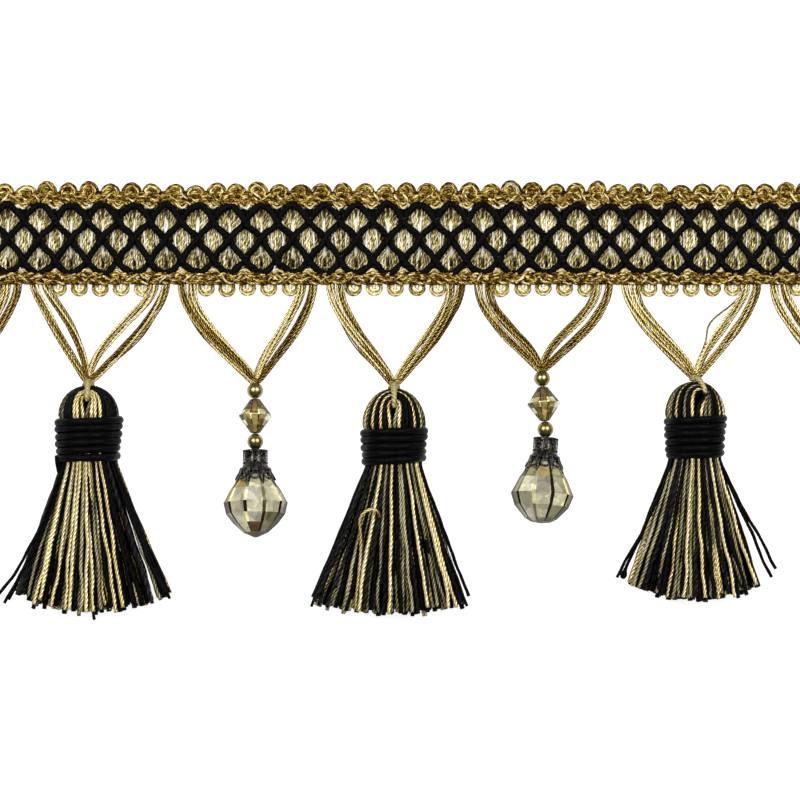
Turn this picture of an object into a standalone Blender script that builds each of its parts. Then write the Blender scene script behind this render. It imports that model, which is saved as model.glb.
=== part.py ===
"""A cut length of tassel fringe trim, lying face up on a flat surface.

The heading is a woven tape with a net of black cords over it and gold gimp along both edges.
Loops of gold yarn hang from it and carry, by turns, a tassel and a drop of strung beads.

Metres, +Z up. The origin is the middle of the heading's back, which lies on the plane Z = 0.
X runs along the heading, and the tassels hang towards -Y.
"""

import math

import bmesh
import bpy

# ---------------------------------------------------------------- driving sizes
UNITS = 7  # hanging loops along the length: drop, tassel, drop, ... drop
UNIT_PITCH = 0.0369  # from one hanging loop to the next
LOOPS_PER_UNIT = 7  # edge loops in one unit
PICOTS_PER_UNIT = 5  # short loops that show between the legs of one hanging loop
LENGTH = UNITS * UNIT_PITCH
LOOP_PITCH = UNIT_PITCH / LOOPS_PER_UNIT
GAP = 0.0003  # between two pieces that touch in the real trim

# ---------------------------------------------------------------- heading sizes
TAPE_HALF_WIDTH = 0.0092
TAPE_THICKNESS = 0.0014
NET_PITCH = 1.5 * LOOP_PITCH  # from one diamond of the net to the next
NET_PHASE = -0.0020  # where one peak of the net stands
NET_ROW = 0.00475  # from one row of diamonds to the next
NET_PEAK = 0.00925  # outer edge of the net's arcs
NET_VALLEY = 0.0063  # outer edge where two cords cross
NET_THICKNESS = 0.0012
NET_HOLE_HALF_WIDTH = 0.00265
NET_HOLE_HALF_HEIGHT = 0.0031
GIMP_INNER = TAPE_HALF_WIDTH + GAP
TOP_GIMP_VALLEY = 0.0118
TOP_GIMP_PEAK = 0.01375
TOP_GIMP_THICKNESS = 0.0032
COMB_EDGE = 0.0119  # how far down the comb's spine reaches
COMB_THICKNESS = 0.0013
PICOT_TIP = 0.01425
PICOT_HALF_WIDTH = 0.0021
BOTTOM_GIMP_OUTER = 0.0116
BOTTOM_GIMP_THICKNESS = 0.0018

# ---------------------------------------------------------------- hanging loops
HANGER_RADIUS = 0.0010
HANGER_APEX_TAPER = 0.78  # the yarns draw together at the foot of the loop
HANGER_START_Y = -(COMB_EDGE + GAP)
HANGER_START_Z = COMB_THICKNESS + GAP + HANGER_RADIUS
HANGER_OUTER_X = UNIT_PITCH / 2 - 0.0022
HANGER_INNER_X = UNIT_PITCH / 2 - 0.0052
HANGER_NEST = 2 * HANGER_RADIUS + 0.0004  # from the outer loop's foot to the inner one's
HANGER_RESOLUTION = 1
HANGER_STEPS = (0.0, 0.22, 0.44, 0.70, 1.0)

# ---------------------------------------------------------------- tassels
WRAP_CORD = 0.0019  # diameter of the cord that binds a tassel's neck
COLLAR_STEPS = 12  # one flat of the collar lies on the surface
KNOT_HALF_WIDTH = 0.0017
KNOT_HALF_HEIGHT = 0.0010
HANGER_FOOT_ABOVE_HEAD = 2 * GAP + 2 * KNOT_HALF_HEIGHT + HANGER_RADIUS * HANGER_APEX_TAPER
SKIRT_END_HEIGHT = 0.0105
SECTION_POINTS = 16

# one row for each tassel, from left to right
TASSELS = [
    {
        "unit": -2, "lean": -0.0025, "head_top": -0.0368, "head_radius": 0.0076,
        "collar_top": -0.0445, "wraps": 6, "wrap_pitch": 0.00190, "collar_radius": 0.0089,
        "end": -0.0933, "left": 0.0222, "right": 0.0203, "bow": 0.0048,
    },
    {
        "unit": 0, "lean": -0.0004, "head_top": -0.0375, "head_radius": 0.0080,
        "collar_top": -0.0471, "wraps": 5, "wrap_pitch": 0.00192, "collar_radius": 0.0088,
        "end": -0.0935, "left": 0.0206, "right": 0.0184, "bow": 0.0026,
    },
    {
        "unit": 2, "lean": 0.0006, "head_top": -0.0358, "head_radius": 0.0075,
        "collar_top": -0.0443, "wraps": 6, "wrap_pitch": 0.00182, "collar_radius": 0.0082,
        "end": -0.0912, "left": 0.0180, "right": 0.0188, "bow": 0.0036,
    },
]

# ---------------------------------------------------------------- bead drops
THREAD_RADIUS = 0.00035
BORE_RADIUS = THREAD_RADIUS + GAP
BEAD_RADIUS = 0.0020
BEAD_HALF_LENGTH = 0.00185
BICONE_RADIUS = 0.0041
BICONE_HALF_LENGTH = 0.0043
BICONE_END_RADIUS = 0.0012
BICONE_SIDES = 10
STRING_SLOPE = math.radians(10)  # the drop lies on its pendant, so its string climbs
FIRST_BEAD = 0.0031  # from the loop's foot to the middle of the first bead
PENDANT_SIDES = 10
PENDANT_TOP = 0.0016  # from the cap's top to the pendant's
PENDANT_HOLE_DEPTH = 0.0030
FLAT_SPOT_DEPTH = 0.00008  # how much of the pendant's lowest facets is flat on the surface

# the pendant below the cap's top: distance down its axis, radius
PENDANT_PROFILE = [
    (PENDANT_TOP, 0.0015),
    (0.0034, 0.0018),
    (0.0078, 0.0038),
    (0.0100, 0.0056),
    (0.0142, 0.0080),
    (0.0174, 0.0068),
    (0.0203, 0.0036),
]
PENDANT_LENGTH = 0.0213

# the cap's outside: distance down its axis, radius
CAP_PROFILE = [
    (0.0000, 0.0030),
    (0.0014, 0.0028),
    (0.0034, 0.0029),
    (0.0056, 0.0038),
    (0.0077, 0.0048),
]
CAP_WALL = 0.0004
CAP_STEPS = 12
BEAD_STEPS = 12
BEAD_ARC_STEPS = 4

# one row for each drop, from left to right. Turns are in degrees, in the surface's plane
DROPS = [
    {"unit": -3, "lean": 0.0011, "foot": -0.0343, "string_turn": -2.0, "pendant_turn": 3.0},
    {"unit": -1, "lean": 0.0018, "foot": -0.0351, "string_turn": 0.5, "pendant_turn": 0.5},
    {"unit": 1, "lean": -0.0006, "foot": -0.0321, "string_turn": 3.5, "pendant_turn": -4.0},
    {"unit": 3, "lean": -0.0013, "foot": -0.0336, "string_turn": -1.5, "pendant_turn": -2.5},
]


# ---------------------------------------------------------------- tools for making pieces
def clear_scene():
    for obj in list(bpy.data.objects):
        bpy.data.objects.remove(obj)


def new_collection(name):
    collection = bpy.data.collections.new(name)
    bpy.context.scene.collection.children.link(collection)
    return collection


def new_material(name, colour, roughness, metallic=0.0, transmission=0.0):
    material = bpy.data.materials.new(name)
    material.use_nodes = True
    shader = material.node_tree.nodes["Principled BSDF"]
    shader.inputs["Base Color"].default_value = (*colour, 1.0)
    shader.inputs["Roughness"].default_value = roughness
    shader.inputs["Metallic"].default_value = metallic
    shader.inputs["Transmission Weight"].default_value = transmission
    material.diffuse_color = (*colour, 1.0)
    return material


def add_object(name, data, material, parent=None):
    obj = bpy.data.objects.new(name, data)
    data.materials.append(material)
    trim.objects.link(obj)
    obj.parent = parent
    return obj


def add_empty(name, location, turn=0.0):
    empty = bpy.data.objects.new(name, None)
    empty.location = location
    empty.rotation_euler = (0.0, 0.0, turn)
    trim.objects.link(empty)
    return empty


def flat_piece(name, outlines, low, high, material):
    """A flat piece of an even thickness: the first outline is its edge, and the others are holes."""
    curve = bpy.data.curves.new(name, "CURVE")
    curve.dimensions = "2D"
    curve.fill_mode = "BOTH"
    curve.extrude = (high - low) / 2
    for outline in outlines:
        spline = curve.splines.new("POLY")
        spline.points.add(len(outline) - 1)
        for point, (x, y) in zip(spline.points, outline):
            point.co = (x, y, 0.0, 1.0)
        spline.use_cyclic_u = True
    obj = add_object(name, curve, material)
    obj.location.z = (low + high) / 2
    return obj


def tube(name, points, tapers, radius, resolution, material):
    """A round cord along the points, each with its share of the full radius."""
    curve = bpy.data.curves.new(name, "CURVE")
    curve.dimensions = "3D"
    curve.bevel_depth = radius
    curve.bevel_resolution = resolution
    curve.use_fill_caps = True
    spline = curve.splines.new("POLY")
    spline.points.add(len(points) - 1)
    for point, place, taper in zip(spline.points, points, tapers):
        point.co = (*place, 1.0)
        point.radius = taper
    return add_object(name, curve, material)


def turned_piece(name, profile, steps, material, parent, ring=False):
    """A turned piece about its own Z. The profile holds (distance down, radius), outside first."""
    mesh = bpy.data.meshes.new(name)
    edges = [(i, i + 1) for i in range(len(profile) - 1)]
    if ring:
        edges.append((len(profile) - 1, 0))
    mesh.from_pydata([(radius, 0.0, -down) for down, radius in profile], edges, [])
    obj = add_object(name, mesh, material, parent)
    screw = obj.modifiers.new("Turn", "SCREW")
    screw.steps = steps
    screw.render_steps = steps
    screw.use_merge_vertices = True
    screw.merge_threshold = 0.00001
    screw.use_smooth_shade = False
    return obj


def loft(name, sections, material, parent):
    """A closed solid through sections that all hold the same number of points."""
    mesh = bpy.data.meshes.new(name)
    solid = bmesh.new()
    rings = [[solid.verts.new(point) for point in section] for section in sections]
    for upper, lower in zip(rings, rings[1:]):
        for i in range(len(upper)):
            j = (i + 1) % len(upper)
            solid.faces.new((upper[i], upper[j], lower[j], lower[i]))
    solid.faces.new(rings[0])
    solid.faces.new(list(reversed(rings[-1])))
    bmesh.ops.recalc_face_normals(solid, faces=solid.faces)
    solid.to_mesh(mesh)
    solid.free()
    return add_object(name, mesh, material, parent)


def blend(a, b, share):
    return a + (b - a) * share


def smooth(share):
    return share * share * (3 - 2 * share)


# ---------------------------------------------------------------- heading
def make_heading_tape():
    """The woven ground: a plain strip that is sewn or glued down by its flat back."""
    mesh = bpy.data.meshes.new("heading_tape")
    solid = bmesh.new()
    bmesh.ops.create_cube(solid, size=1.0)
    bmesh.ops.scale(solid, vec=(LENGTH, 2 * TAPE_HALF_WIDTH, TAPE_THICKNESS), verts=solid.verts)
    bmesh.ops.translate(solid, vec=(0.0, 0.0, TAPE_THICKNESS / 2), verts=solid.verts)
    solid.to_mesh(mesh)
    solid.free()
    add_object("heading_tape", mesh, ground_yarn)


def repeats(pitch, phase):
    """The places of a repeat along the heading, with one past each end."""
    first = math.floor((-LENGTH / 2 - phase) / pitch)
    last = math.ceil((LENGTH / 2 - phase) / pitch)
    return [phase + pitch * i for i in range(first, last + 1)]


def scalloped_edge(pitch, phase, shape):
    """Points of one long edge, left to right, cut off square at the heading's two ends.

    shape holds (place in the repeat from -0.5 to 0.5, height), for a repeat that starts at a valley.
    """
    points = [(x + share * pitch, y) for x in repeats(pitch, phase) for share, y in shape]
    ends = (-LENGTH / 2, LENGTH / 2)
    kept = [p for p in points if ends[0] < p[0] < ends[1]]
    for end in ends:
        for (x0, y0), (x1, y1) in zip(points, points[1:]):
            if x0 <= end < x1:
                kept.append((end, blend(y0, y1, (end - x0) / (x1 - x0))))
    return sorted(kept)


def net_diamonds():
    """The holes of the net: three staggered rows of diamonds, those cut by an end left out."""
    holes = []
    for row in (-1, 0, 1):
        phase = NET_PHASE + (NET_PITCH / 2 if row == 0 else 0.0)
        for x in repeats(NET_PITCH, phase):
            if abs(x) + NET_HOLE_HALF_WIDTH + 2 * GAP > LENGTH / 2:
                continue
            y = row * NET_ROW
            holes.append(
                [
                    (x, y + NET_HOLE_HALF_HEIGHT),
                    (x - NET_HOLE_HALF_WIDTH, y),
                    (x, y - NET_HOLE_HALF_HEIGHT),
                    (x + NET_HOLE_HALF_WIDTH, y),
                ]
            )
    return holes


def make_lattice_net():
    """Four black cords that cross to and fro and lie on the tape as one net."""
    shape = [(-0.5, NET_VALLEY), (-0.16, NET_PEAK), (0.16, NET_PEAK)]
    upper = scalloped_edge(NET_PITCH, NET_PHASE, shape)
    lower = [(x, -y) for x, y in reversed(upper)]
    low = TAPE_THICKNESS + GAP
    flat_piece("lattice_net", [upper + lower, *net_diamonds()], low, low + NET_THICKNESS, black_cord)


def make_top_gimp():
    """Gold gimp along the upper edge, worked into a row of small scallops."""
    shape = [(-0.5, TOP_GIMP_VALLEY), (-0.2, TOP_GIMP_PEAK), (0.2, TOP_GIMP_PEAK)]
    upper = scalloped_edge(LOOP_PITCH, LOOP_PITCH / 2, shape)
    lower = [(LENGTH / 2, GIMP_INNER), (-LENGTH / 2, GIMP_INNER)]
    flat_piece("top_gimp", [upper + lower], 0.0, TOP_GIMP_THICKNESS, gold_yarn)


def make_bottom_gimp():
    """Gold gimp along the lower edge, lying over the roots of the loops."""
    shape = [(-0.5, BOTTOM_GIMP_OUTER - 0.0003), (0.0, BOTTOM_GIMP_OUTER)]
    lower = scalloped_edge(LOOP_PITCH, 0.0, shape)
    edge = [(x, -y) for x, y in reversed(lower)]
    upper = [(-LENGTH / 2, -GIMP_INNER), (LENGTH / 2, -GIMP_INNER)]
    low = COMB_THICKNESS + GAP
    flat_piece("bottom_gimp", [upper + edge], low, low + BOTTOM_GIMP_THICKNESS, gold_yarn)


def make_picot_comb():
    """The short loops along the lower edge, as one comb whose spine lies under the gimp."""
    tooth = [
        (-PICOT_HALF_WIDTH, COMB_EDGE),
        (-0.80 * PICOT_HALF_WIDTH, 0.0134),
        (0.0, PICOT_TIP),
        (0.80 * PICOT_HALF_WIDTH, 0.0134),
        (PICOT_HALF_WIDTH, COMB_EDGE),
    ]
    edge = [(-LENGTH / 2, -COMB_EDGE)]
    for unit in range(UNITS):
        middle = (unit - (UNITS - 1) / 2) * UNIT_PITCH
        for picot in range(PICOTS_PER_UNIT):
            x = middle + (picot - (PICOTS_PER_UNIT - 1) / 2) * LOOP_PITCH
            edge += [(x + dx, -y) for dx, y in tooth]
    edge.append((LENGTH / 2, -COMB_EDGE))
    spine = [(LENGTH / 2, -GIMP_INNER), (-LENGTH / 2, -GIMP_INNER)]
    flat_piece("picot_comb", [edge + spine], 0.0, COMB_THICKNESS, gold_yarn)


# ---------------------------------------------------------------- hanging loops
def hanger_leg(start, foot):
    """Points down one leg: straight out of the heading, then in a soft curve to the foot."""
    (x0, y0, z0), (x3, y3, z3) = start, foot
    x1, y1 = x0, y0 - 0.0070
    x2, y2 = blend(x3, x0, 0.25), y3 + 0.0050
    points = []
    for t in HANGER_STEPS:
        a, b, c, d = (1 - t) ** 3, 3 * t * (1 - t) ** 2, 3 * t * t * (1 - t), t**3
        x = a * x0 + b * x1 + c * x2 + d * x3
        y = a * y0 + b * y1 + c * y2 + d * y3
        points.append((x, y, blend(z0, z3, smooth(t))))
    return points


def make_hanger(number, middle, foot):
    """One hanging loop: an outer and an inner bundle of gold yarns, one nested in the other."""
    for name, half, lift in (
        ("outer", HANGER_OUTER_X, 0.0),
        ("inner", HANGER_INNER_X, HANGER_NEST),
    ):
        low = (foot[0], foot[1] + lift, foot[2])
        left = hanger_leg((middle - half, HANGER_START_Y, HANGER_START_Z), low)
        right = hanger_leg((middle + half, HANGER_START_Y, HANGER_START_Z), low)
        tapers = [blend(1.0, HANGER_APEX_TAPER, smooth(t)) for t in HANGER_STEPS]
        points = left + right[-2::-1]
        shares = tapers + tapers[-2::-1]
        tube(
            f"hanger_{name}_{number}", points, shares,
            HANGER_RADIUS, HANGER_RESOLUTION, gold_yarn,
        )


# ---------------------------------------------------------------- tassels
def ring_section(y, half_left, half_right, low, high, bow=0.0, squareness=1.0):
    """One section of a tassel's yarn: an oval that is cut off flat where it would pass the surface."""
    points = []
    for i in range(SECTION_POINTS):
        angle = 2 * math.pi * (i + 0.5) / SECTION_POINTS
        c, s = math.cos(angle), math.sin(angle)
        half = half_right if c > 0 else half_left
        x = half * math.copysign(abs(c) ** squareness, c)
        z = blend(low, high, 0.5 + 0.5 * math.copysign(abs(s) ** squareness, s))
        points.append((x, y + bow * (x / half) ** 2, max(0.0, z)))
    return points


def tassel_sections(row, axis_height):
    """The yarn from the top of the head, down through the bound neck, to the cut ends of the skirt."""
    head = row["head_radius"]
    top = row["head_top"]
    neck = (row["collar_radius"] - WRAP_CORD) * math.cos(math.pi / COLLAR_STEPS) - GAP
    collar_top = row["collar_top"]
    collar_end = collar_top - row["wraps"] * row["wrap_pitch"]
    dome = min(head, top - collar_top - 0.0005)

    def circle(y, radius):
        return ring_section(y, radius, radius, axis_height - radius, axis_height + radius)

    sections = []
    for share in (0.02, 0.12, 0.32, 0.62, 1.0):
        sections.append(circle(top - share * dome, head * math.sqrt(1 - (1 - share) ** 2)))
    start = collar_end - GAP
    sections.append(circle(collar_top + GAP, blend(head, neck, 0.25)))
    sections.append(circle(collar_top + GAP, neck))
    sections.append(circle(start, neck))
    for share in (0.0, 0.14, 0.35, 0.62, 1.0):
        flare = share**0.85
        sections.append(
            ring_section(
                blend(start, row["end"], share),
                blend(neck + 2 * GAP, row["left"], flare),
                blend(neck + 2 * GAP, row["right"], flare),
                blend(axis_height - neck, -0.0030, min(1.0, 2.2 * share)),
                blend(axis_height + neck, SKIRT_END_HEIGHT, share**0.7),
                bow=row["bow"] * share,
                squareness=blend(1.0, 0.72, share),
            )
        )
    return sections


def collar_profile(row):
    """Turns of black cord side by side: a crest for each turn, with a groove between two turns."""
    radius = row["collar_radius"]
    inner = radius - WRAP_CORD
    pitch = row["wrap_pitch"]
    profile = [(0.0, radius - 0.35 * WRAP_CORD)]
    for turn in range(row["wraps"]):
        crest = (turn + 0.5) * pitch
        profile.append((crest, radius))
        if turn < row["wraps"] - 1:
            profile.append((crest + 0.5 * pitch, radius - 0.25 * WRAP_CORD))
    end = row["wraps"] * pitch
    profile += [(end, radius - 0.35 * WRAP_CORD), (end, inner), (0.0, inner)]
    return profile


def make_tassel(number, row):
    """A hank of black and gold yarn, folded over a knot and bound round its neck with black cord."""
    x = row["unit"] * UNIT_PITCH + row["lean"]
    axis_height = row["collar_radius"] * math.cos(math.pi / COLLAR_STEPS)
    place = add_empty(f"tassel_place_{number}", (x, 0.0, 0.0))
    loft(f"tassel_yarn_{number}", tassel_sections(row, axis_height), tassel_yarn, place)

    collar = turned_piece(
        f"tassel_collar_{number}", collar_profile(row), COLLAR_STEPS, black_cord, place, ring=True
    )
    collar.location = (0.0, row["collar_top"], axis_height)
    collar.rotation_euler = (-math.pi / 2, math.pi / COLLAR_STEPS, 0.0)

    knot_y = row["head_top"] + GAP + KNOT_HALF_HEIGHT
    mesh = bpy.data.meshes.new(f"tassel_tie_{number}")
    solid = bmesh.new()
    bmesh.ops.create_uvsphere(solid, u_segments=10, v_segments=6, radius=1.0)
    bmesh.ops.scale(
        solid, vec=(KNOT_HALF_WIDTH, KNOT_HALF_HEIGHT, KNOT_HALF_WIDTH), verts=solid.verts
    )
    solid.to_mesh(mesh)
    solid.free()
    knot = add_object(f"tassel_tie_{number}", mesh, gold_yarn, place)
    knot.location = (0.0, knot_y, axis_height)

    foot = (x, row["head_top"] + HANGER_FOOT_ABOVE_HEAD, axis_height)
    return foot


# ---------------------------------------------------------------- bead drops
def bead_profile():
    """A round bead with a straight bore."""
    arc = []
    half_angle = math.asin(BEAD_HALF_LENGTH / BEAD_RADIUS)
    for i in range(BEAD_ARC_STEPS + 1):
        angle = blend(half_angle, -half_angle, i / BEAD_ARC_STEPS)
        arc.append((BEAD_HALF_LENGTH - BEAD_RADIUS * math.sin(angle), BEAD_RADIUS * math.cos(angle)))
    length = 2 * BEAD_HALF_LENGTH
    return [*arc, (length, BORE_RADIUS), (0.0, BORE_RADIUS)]


def bicone_profile():
    """Two cut cones foot to foot, with a straight bore."""
    half, length = BICONE_HALF_LENGTH, 2 * BICONE_HALF_LENGTH
    return [
        (0.0, BICONE_END_RADIUS),
        (half - 0.0002, BICONE_RADIUS),
        (half + 0.0002, BICONE_RADIUS),
        (length, BICONE_END_RADIUS),
        (length, BORE_RADIUS),
        (0.0, BORE_RADIUS),
    ]


def cap_profile():
    """A thin metal bell with a hole in its top for the thread."""
    inside = [(down, radius - CAP_WALL) for down, radius in reversed(CAP_PROFILE[1:])]
    return [*CAP_PROFILE, *inside, (CAP_WALL, BORE_RADIUS), (0.0, BORE_RADIUS)]


def pendant_profile():
    """A cut drop with a blind hole in its top for the thread's end."""
    hole_end = PENDANT_TOP + PENDANT_HOLE_DEPTH
    hole = [(hole_end, 0.0), (hole_end, BORE_RADIUS), (PENDANT_TOP, BORE_RADIUS)]
    return [*hole, *PENDANT_PROFILE, (PENDANT_LENGTH, 0.0)]


def pendant_height(slope):
    """How high the cap's top stands when the pendant lies on its lowest facets."""
    face = math.cos(math.pi / PENDANT_SIDES)
    reach = max(radius * face * math.cos(slope) - down * math.sin(slope)
                for down, radius in PENDANT_PROFILE)
    return reach - FLAT_SPOT_DEPTH


def cut_flat_spot(obj):
    cut = obj.modifiers.new("Flat spot", "BOOLEAN")
    cut.operation = "DIFFERENCE"
    cut.solver = "EXACT"
    cut.object = surface_cutter


def lay_piece(obj, place, turn, slope):
    """Lays a turned piece down so that its top points to the heading and dips to the surface."""
    obj.location = place
    obj.rotation_euler = (-math.pi / 2 - slope, 0.0, turn)


def make_drop(number, row):
    """A thread through a round bead, a bicone, a round bead and a metal cap, to a cut pendant."""
    place = add_empty(f"drop_place_{number}", (row["unit"] * UNIT_PITCH + row["lean"], row["foot"], 0.0))
    string_turn = math.radians(row["string_turn"])
    pendant_turn = math.radians(row["pendant_turn"])
    foot_height = HANGER_START_Z

    def along(distance):
        """A point of the string, measured from the loop's foot."""
        flat = distance * math.cos(STRING_SLOPE)
        return (
            flat * math.sin(string_turn),
            -flat * math.cos(string_turn),
            foot_height + distance * math.sin(STRING_SLOPE),
        )

    bead_start = FIRST_BEAD - BEAD_HALF_LENGTH
    bicone_start = bead_start + 2 * BEAD_HALF_LENGTH + GAP
    lower_start = bicone_start + 2 * BICONE_HALF_LENGTH + GAP
    cap_start = lower_start + 2 * BEAD_HALF_LENGTH + GAP
    for name, profile, steps, start, material in (
        ("drop_bead_upper", bead_profile(), BEAD_STEPS, bead_start, gilt_bead),
        ("drop_bicone", bicone_profile(), BICONE_SIDES, bicone_start, clear_bead),
        ("drop_bead_lower", bead_profile(), BEAD_STEPS, lower_start, gilt_bead),
    ):
        piece = turned_piece(f"{name}_{number}", profile, steps, material, place, ring=True)
        lay_piece(piece, along(start), string_turn, STRING_SLOPE)

    cap_top = along(cap_start)
    pendant_slope = solve_pendant_slope(cap_top[2])
    cap = turned_piece(f"drop_cap_{number}", cap_profile(), CAP_STEPS, aged_brass, place, ring=True)
    lay_piece(cap, cap_top, pendant_turn, pendant_slope)
    pendant = turned_piece(
        f"drop_pendant_{number}", pendant_profile(), PENDANT_SIDES, clear_bead, place
    )
    lay_piece(pendant, cap_top, pendant_turn, pendant_slope)
    cut_flat_spot(pendant)

    reach = PENDANT_TOP + 0.6 * PENDANT_HOLE_DEPTH
    flat = reach * math.cos(pendant_slope)
    end = (
        cap_top[0] + flat * math.sin(pendant_turn),
        cap_top[1] - flat * math.cos(pendant_turn),
        cap_top[2] + reach * math.sin(pendant_slope),
    )
    eye = HANGER_RADIUS * HANGER_APEX_TAPER + 2 * GAP
    thread = tube(
        f"drop_thread_{number}",
        [along(eye), along((eye + cap_start) / 2), cap_top, end],
        [1.0, 1.0, 1.0, 1.0], THREAD_RADIUS, 2, gold_yarn,
    )
    thread.parent = place
    return (place.location.x, place.location.y, foot_height)


def solve_pendant_slope(cap_height):
    """The slope at which a pendant whose cap's top is that high just lies on the surface."""
    low, high = 0.0, math.radians(40)
    for _ in range(40):
        middle = (low + high) / 2
        if pendant_height(middle) > cap_height:
            low = middle
        else:
            high = middle
    return low


# ---------------------------------------------------------------- the whole trim
clear_scene()
trim = new_collection("tassel_fringe_trim")
cutters = new_collection("cutters")

gold_yarn = new_material("gold_yarn", (0.60, 0.42, 0.15), 0.45)
black_cord = new_material("black_cord", (0.012, 0.011, 0.014), 0.55)
ground_yarn = new_material("ground_yarn", (0.50, 0.38, 0.18), 0.55)
tassel_yarn = new_material("tassel_yarn", (0.22, 0.16, 0.07), 0.50)
gilt_bead = new_material("gilt_bead", (0.72, 0.58, 0.26), 0.25, metallic=1.0)
clear_bead = new_material("clear_bead", (0.86, 0.80, 0.58), 0.05, transmission=1.0)
aged_brass = new_material("aged_brass", (0.14, 0.11, 0.07), 0.40, metallic=1.0)

bpy.ops.mesh.primitive_cube_add(size=1.0, location=(0.0, -0.04, -0.01))
surface_cutter = bpy.context.object
surface_cutter.name = "surface_cutter"
surface_cutter.scale = (0.4, 0.2, 0.02)
surface_cutter.hide_render = True
surface_cutter.display_type = "WIRE"
for owner in list(surface_cutter.users_collection):
    owner.objects.unlink(surface_cutter)
cutters.objects.link(surface_cutter)

make_heading_tape()
make_lattice_net()
make_top_gimp()
make_bottom_gimp()
make_picot_comb()

feet = {}
for index, tassel in enumerate(TASSELS, start=1):
    feet[tassel["unit"]] = make_tassel(index, tassel)
for index, drop in enumerate(DROPS, start=1):
    feet[drop["unit"]] = make_drop(index, drop)
for index, unit in enumerate(sorted(feet), start=1):
    make_hanger(index, unit * UNIT_PITCH, feet[unit])
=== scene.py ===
"""A cut length of tassel fringe trim, lying face up on a pale surface.

The trim is built in the order its maker works: the woven heading, the net of black cord over it,
the gimp along both edges, the loops that hang from it, and then the tassels and the bead drops.
"""
import math

import bpy
import numpy as np
from mathutils import Matrix, Vector


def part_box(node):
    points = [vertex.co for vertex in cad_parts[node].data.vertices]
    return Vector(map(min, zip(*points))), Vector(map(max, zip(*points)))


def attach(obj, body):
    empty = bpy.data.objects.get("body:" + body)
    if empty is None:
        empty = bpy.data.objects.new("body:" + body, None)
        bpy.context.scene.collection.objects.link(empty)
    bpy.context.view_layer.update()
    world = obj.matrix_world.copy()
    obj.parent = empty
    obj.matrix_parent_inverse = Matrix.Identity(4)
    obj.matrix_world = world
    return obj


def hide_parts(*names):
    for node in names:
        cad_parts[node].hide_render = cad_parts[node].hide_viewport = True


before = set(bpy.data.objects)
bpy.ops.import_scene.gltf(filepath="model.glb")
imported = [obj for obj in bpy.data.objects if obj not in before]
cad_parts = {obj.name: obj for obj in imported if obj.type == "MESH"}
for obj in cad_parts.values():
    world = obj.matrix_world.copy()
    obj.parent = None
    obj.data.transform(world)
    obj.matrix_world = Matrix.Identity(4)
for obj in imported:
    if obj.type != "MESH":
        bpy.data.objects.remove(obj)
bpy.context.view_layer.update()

# --------------------------------------
# The ground of the heading: a narrow woven strip of dull gold yarn. Its back is what gets sewn
# or glued down, and the yarns of the face are bound into it.
# --------------------------------------
MM = 0.001
trim_end, heading_half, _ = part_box("heading_tape")[1]
ground_back, ground_face = 0.15 * MM, 0.65 * MM


def new_finish(name, constants):
    """A node material with its node tree and shader to work on. The constants go on the shader's sockets."""
    finish = bpy.data.materials.new(name)
    finish.use_nodes = True
    shader = finish.node_tree.nodes["Principled BSDF"]
    for socket, value in constants.items():
        shader.inputs[socket].default_value = value
    return finish, finish.node_tree, shader


def add_node(tree, kind, inputs=(), **settings):
    """One node with its settings. Each input is a constant or another node's output."""
    node = tree.nodes.new(kind)
    for key, value in settings.items():
        setattr(node, key, value)
    for key, value in dict(inputs).items():
        if isinstance(value, bpy.types.NodeSocket):
            tree.links.new(value, node.inputs[key])
        else:
            node.inputs[key].default_value = value
    return node


def reckon(tree, operation, a, b=0.0, c=0.0):
    """A Math node's result, for numbers that vary over the surface."""
    return add_node(tree, "ShaderNodeMath", {0: a, 1: b, 2: c}, operation=operation).outputs[0]


def object_place(tree):
    """Where a point of the surface is, in the piece's own frame."""
    return add_node(tree, "ShaderNodeTexCoord").outputs["Object"]


def noise(tree, where, scale, detail):
    """Cloudy variation about 0.5."""
    inputs = {"Vector": where, "Scale": scale, "Detail": detail}
    return add_node(tree, "ShaderNodeTexNoise", inputs).outputs["Fac"]


def colour_steps(tree, shader, position, steps):
    """Colours the shader by a number from 0 to 1 that runs through (position, colour) steps."""
    node = add_node(tree, "ShaderNodeValToRGB", {0: position})
    ramp = node.color_ramp
    while len(ramp.elements) < len(steps):
        ramp.elements.new(0.5)
    for element, (place, colour) in zip(ramp.elements, steps):
        element.position = place
        element.color = (*colour, 1.0)
    tree.links.new(node.outputs[0], shader.inputs["Base Color"])


def add_bump(tree, shader, height, strength, distance):
    """Raises the surface where height is greater, up to the distance."""
    inputs = {"Height": height, "Strength": strength, "Distance": distance}
    bump = add_node(tree, "ShaderNodeBump", inputs)
    tree.links.new(bump.outputs[0], shader.inputs["Normal"])


def ground_finish():
    """Plain weave of dull gold yarn: ribs across the strip, with painted shade in the hollows between them.
    """
    finish, tree, shader = new_finish("ground_weave", {"Roughness": 0.62, "Sheen Weight": 0.25})
    where = object_place(tree)
    place = add_node(tree, "ShaderNodeSeparateXYZ", {0: where})
    ribs = reckon(tree, "SINE", reckon(tree, "MULTIPLY", place.outputs["X"], 9500.0))
    picks = reckon(tree, "SINE", reckon(tree, "MULTIPLY", place.outputs["Y"], 7000.0))
    weave = reckon(tree, "MULTIPLY", ribs, picks)
    tone = reckon(tree, "MULTIPLY_ADD", weave, 0.22, 0.30)
    patches = noise(tree, where, scale=180.0, detail=2.0)
    fibres = noise(tree, where, scale=2600.0, detail=4.0)
    tone = reckon(tree, "MULTIPLY_ADD", patches, 0.35, tone)
    steps = [(0.1, (0.035, 0.022, 0.007)), (0.5, (0.19, 0.125, 0.036)), (0.9, (0.42, 0.30, 0.11))]
    colour_steps(tree, shader, tone, steps)
    height = reckon(tree, "MULTIPLY_ADD", fibres, 0.9, weave)
    add_bump(tree, shader, height, strength=0.8, distance=0.12 * MM)
    return finish


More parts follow.
